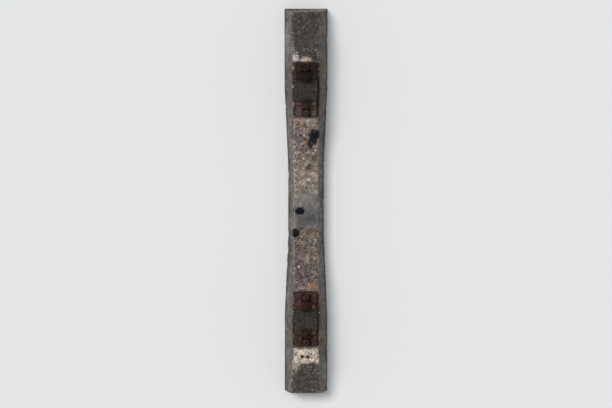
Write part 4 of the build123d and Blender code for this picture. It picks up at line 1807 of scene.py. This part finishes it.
def bolt_rings(length, head):
    """All rings of a bolt from its top down, with its top at a height of zero."""
    half_head, half_width, head_height = head
    shank_length = length - head_height
    rows = int(thread_length / thread_pitch * rows_per_pitch) + 1
    rings = [shank_ring(row * thread_pitch / rows_per_pitch) for row in range(rows)]
    rings.append(shank_ring(shank_length))
    bevels = ((head_bevel, 0), (0, head_bevel), (0, head_height - head_bevel), (head_bevel, head_height))
    for inset, depth in bevels:
        outline = stadium(bolt_sides, half_width - inset, half_head - half_width)
        rings.append([(x, y, -shank_length - depth) for x, y in outline])
    return rings


def rust_away(made):
    """Moves the points of a bolt inwards here and there, where rust has eaten it."""
    for vertex in made.verts:
        loss = rust_loss * max(0, noise.fractal(vertex.co * rust_waves, *rust_noise) + rust_bias)
        away = Vector((vertex.co.x, vertex.co.y, 0))
        if away.length > thread_pitch:
            vertex.co -= away.normalized() * loss


def make_bolt(kind, seat, end):
    """A threaded bolt that stands where the node of the same name is."""
    node_name = f"{kind}_{seat}_{end}"
    low, high = local_box(node_name, seat)
    made = bmesh.new()
    skin_over(made, bolt_rings(high[2] - low[2], bolt_heads[kind]))
    rust_away(made)
    middle = (low + high) / 2
    made.transform(seat_matrix(seat) @ Matrix.Translation((middle[0], middle[1], high[2])))
    bmesh.ops.recalc_face_normals(made, faces=made.faces)
    mesh = as_mesh(made, node_name)
    mesh.shade_smooth()
    mesh.set_sharp_from_angle(angle=sharp_angle)
    return add_piece("threaded_" + node_name, mesh, finishes["bolt_steel"], "bolt_steel", node_name)


bolts = [make_bolt(kind, seat, end) for kind in bolt_heads for seat in "ab" for end in ends]
print("bolts:", len(bolts), "of", len(bolts[0].data.polygons), "faces")

# %% [markdown]
# ## Cut wires
#
# The beam was cast round 44 stretched wires, and sawn or sheared from the next beam on the
# line. Their ends still show on both end faces as rusty dots, a hair proud of the concrete.

# %% Set the wire ends
wire_radius = 1.7 * mm
wire_sides = 10
wire_proud = 0.5 * mm
wire_sunk = 6 * mm


def make_wire_ends(side, letter):
    """The cut wires of one end face, as one joined mesh of short rods."""
    made = bmesh.new()
    lying = Matrix.Rotation(math.pi / 2, 4, "X")
    for x, z in wire_spots():
        face_y = half_length - end_lean * z
        tip = side * (face_y + wire_proud * lot.uniform(-0.4, 1.0) - wave_depth / 2)
        middle = Matrix.Translation((x, tip - side * wire_sunk / 2, z))
        radius = wire_radius * lot.uniform(0.85, 1.1)
        size = {"segments": wire_sides, "radius1": radius, "radius2": radius, "depth": wire_sunk}
        bmesh.ops.create_cone(made, cap_ends=True, matrix=middle @ lying, **size)
    mesh = as_mesh(made, "wire ends")
    return add_piece("wire_ends_" + letter, mesh, finishes["anchor_steel"], "anchor_steel")


for side, letter in ((1, "a"), (-1, "b")):
    make_wire_ends(side, letter)
print("wires in each end:", len(wire_spots()))
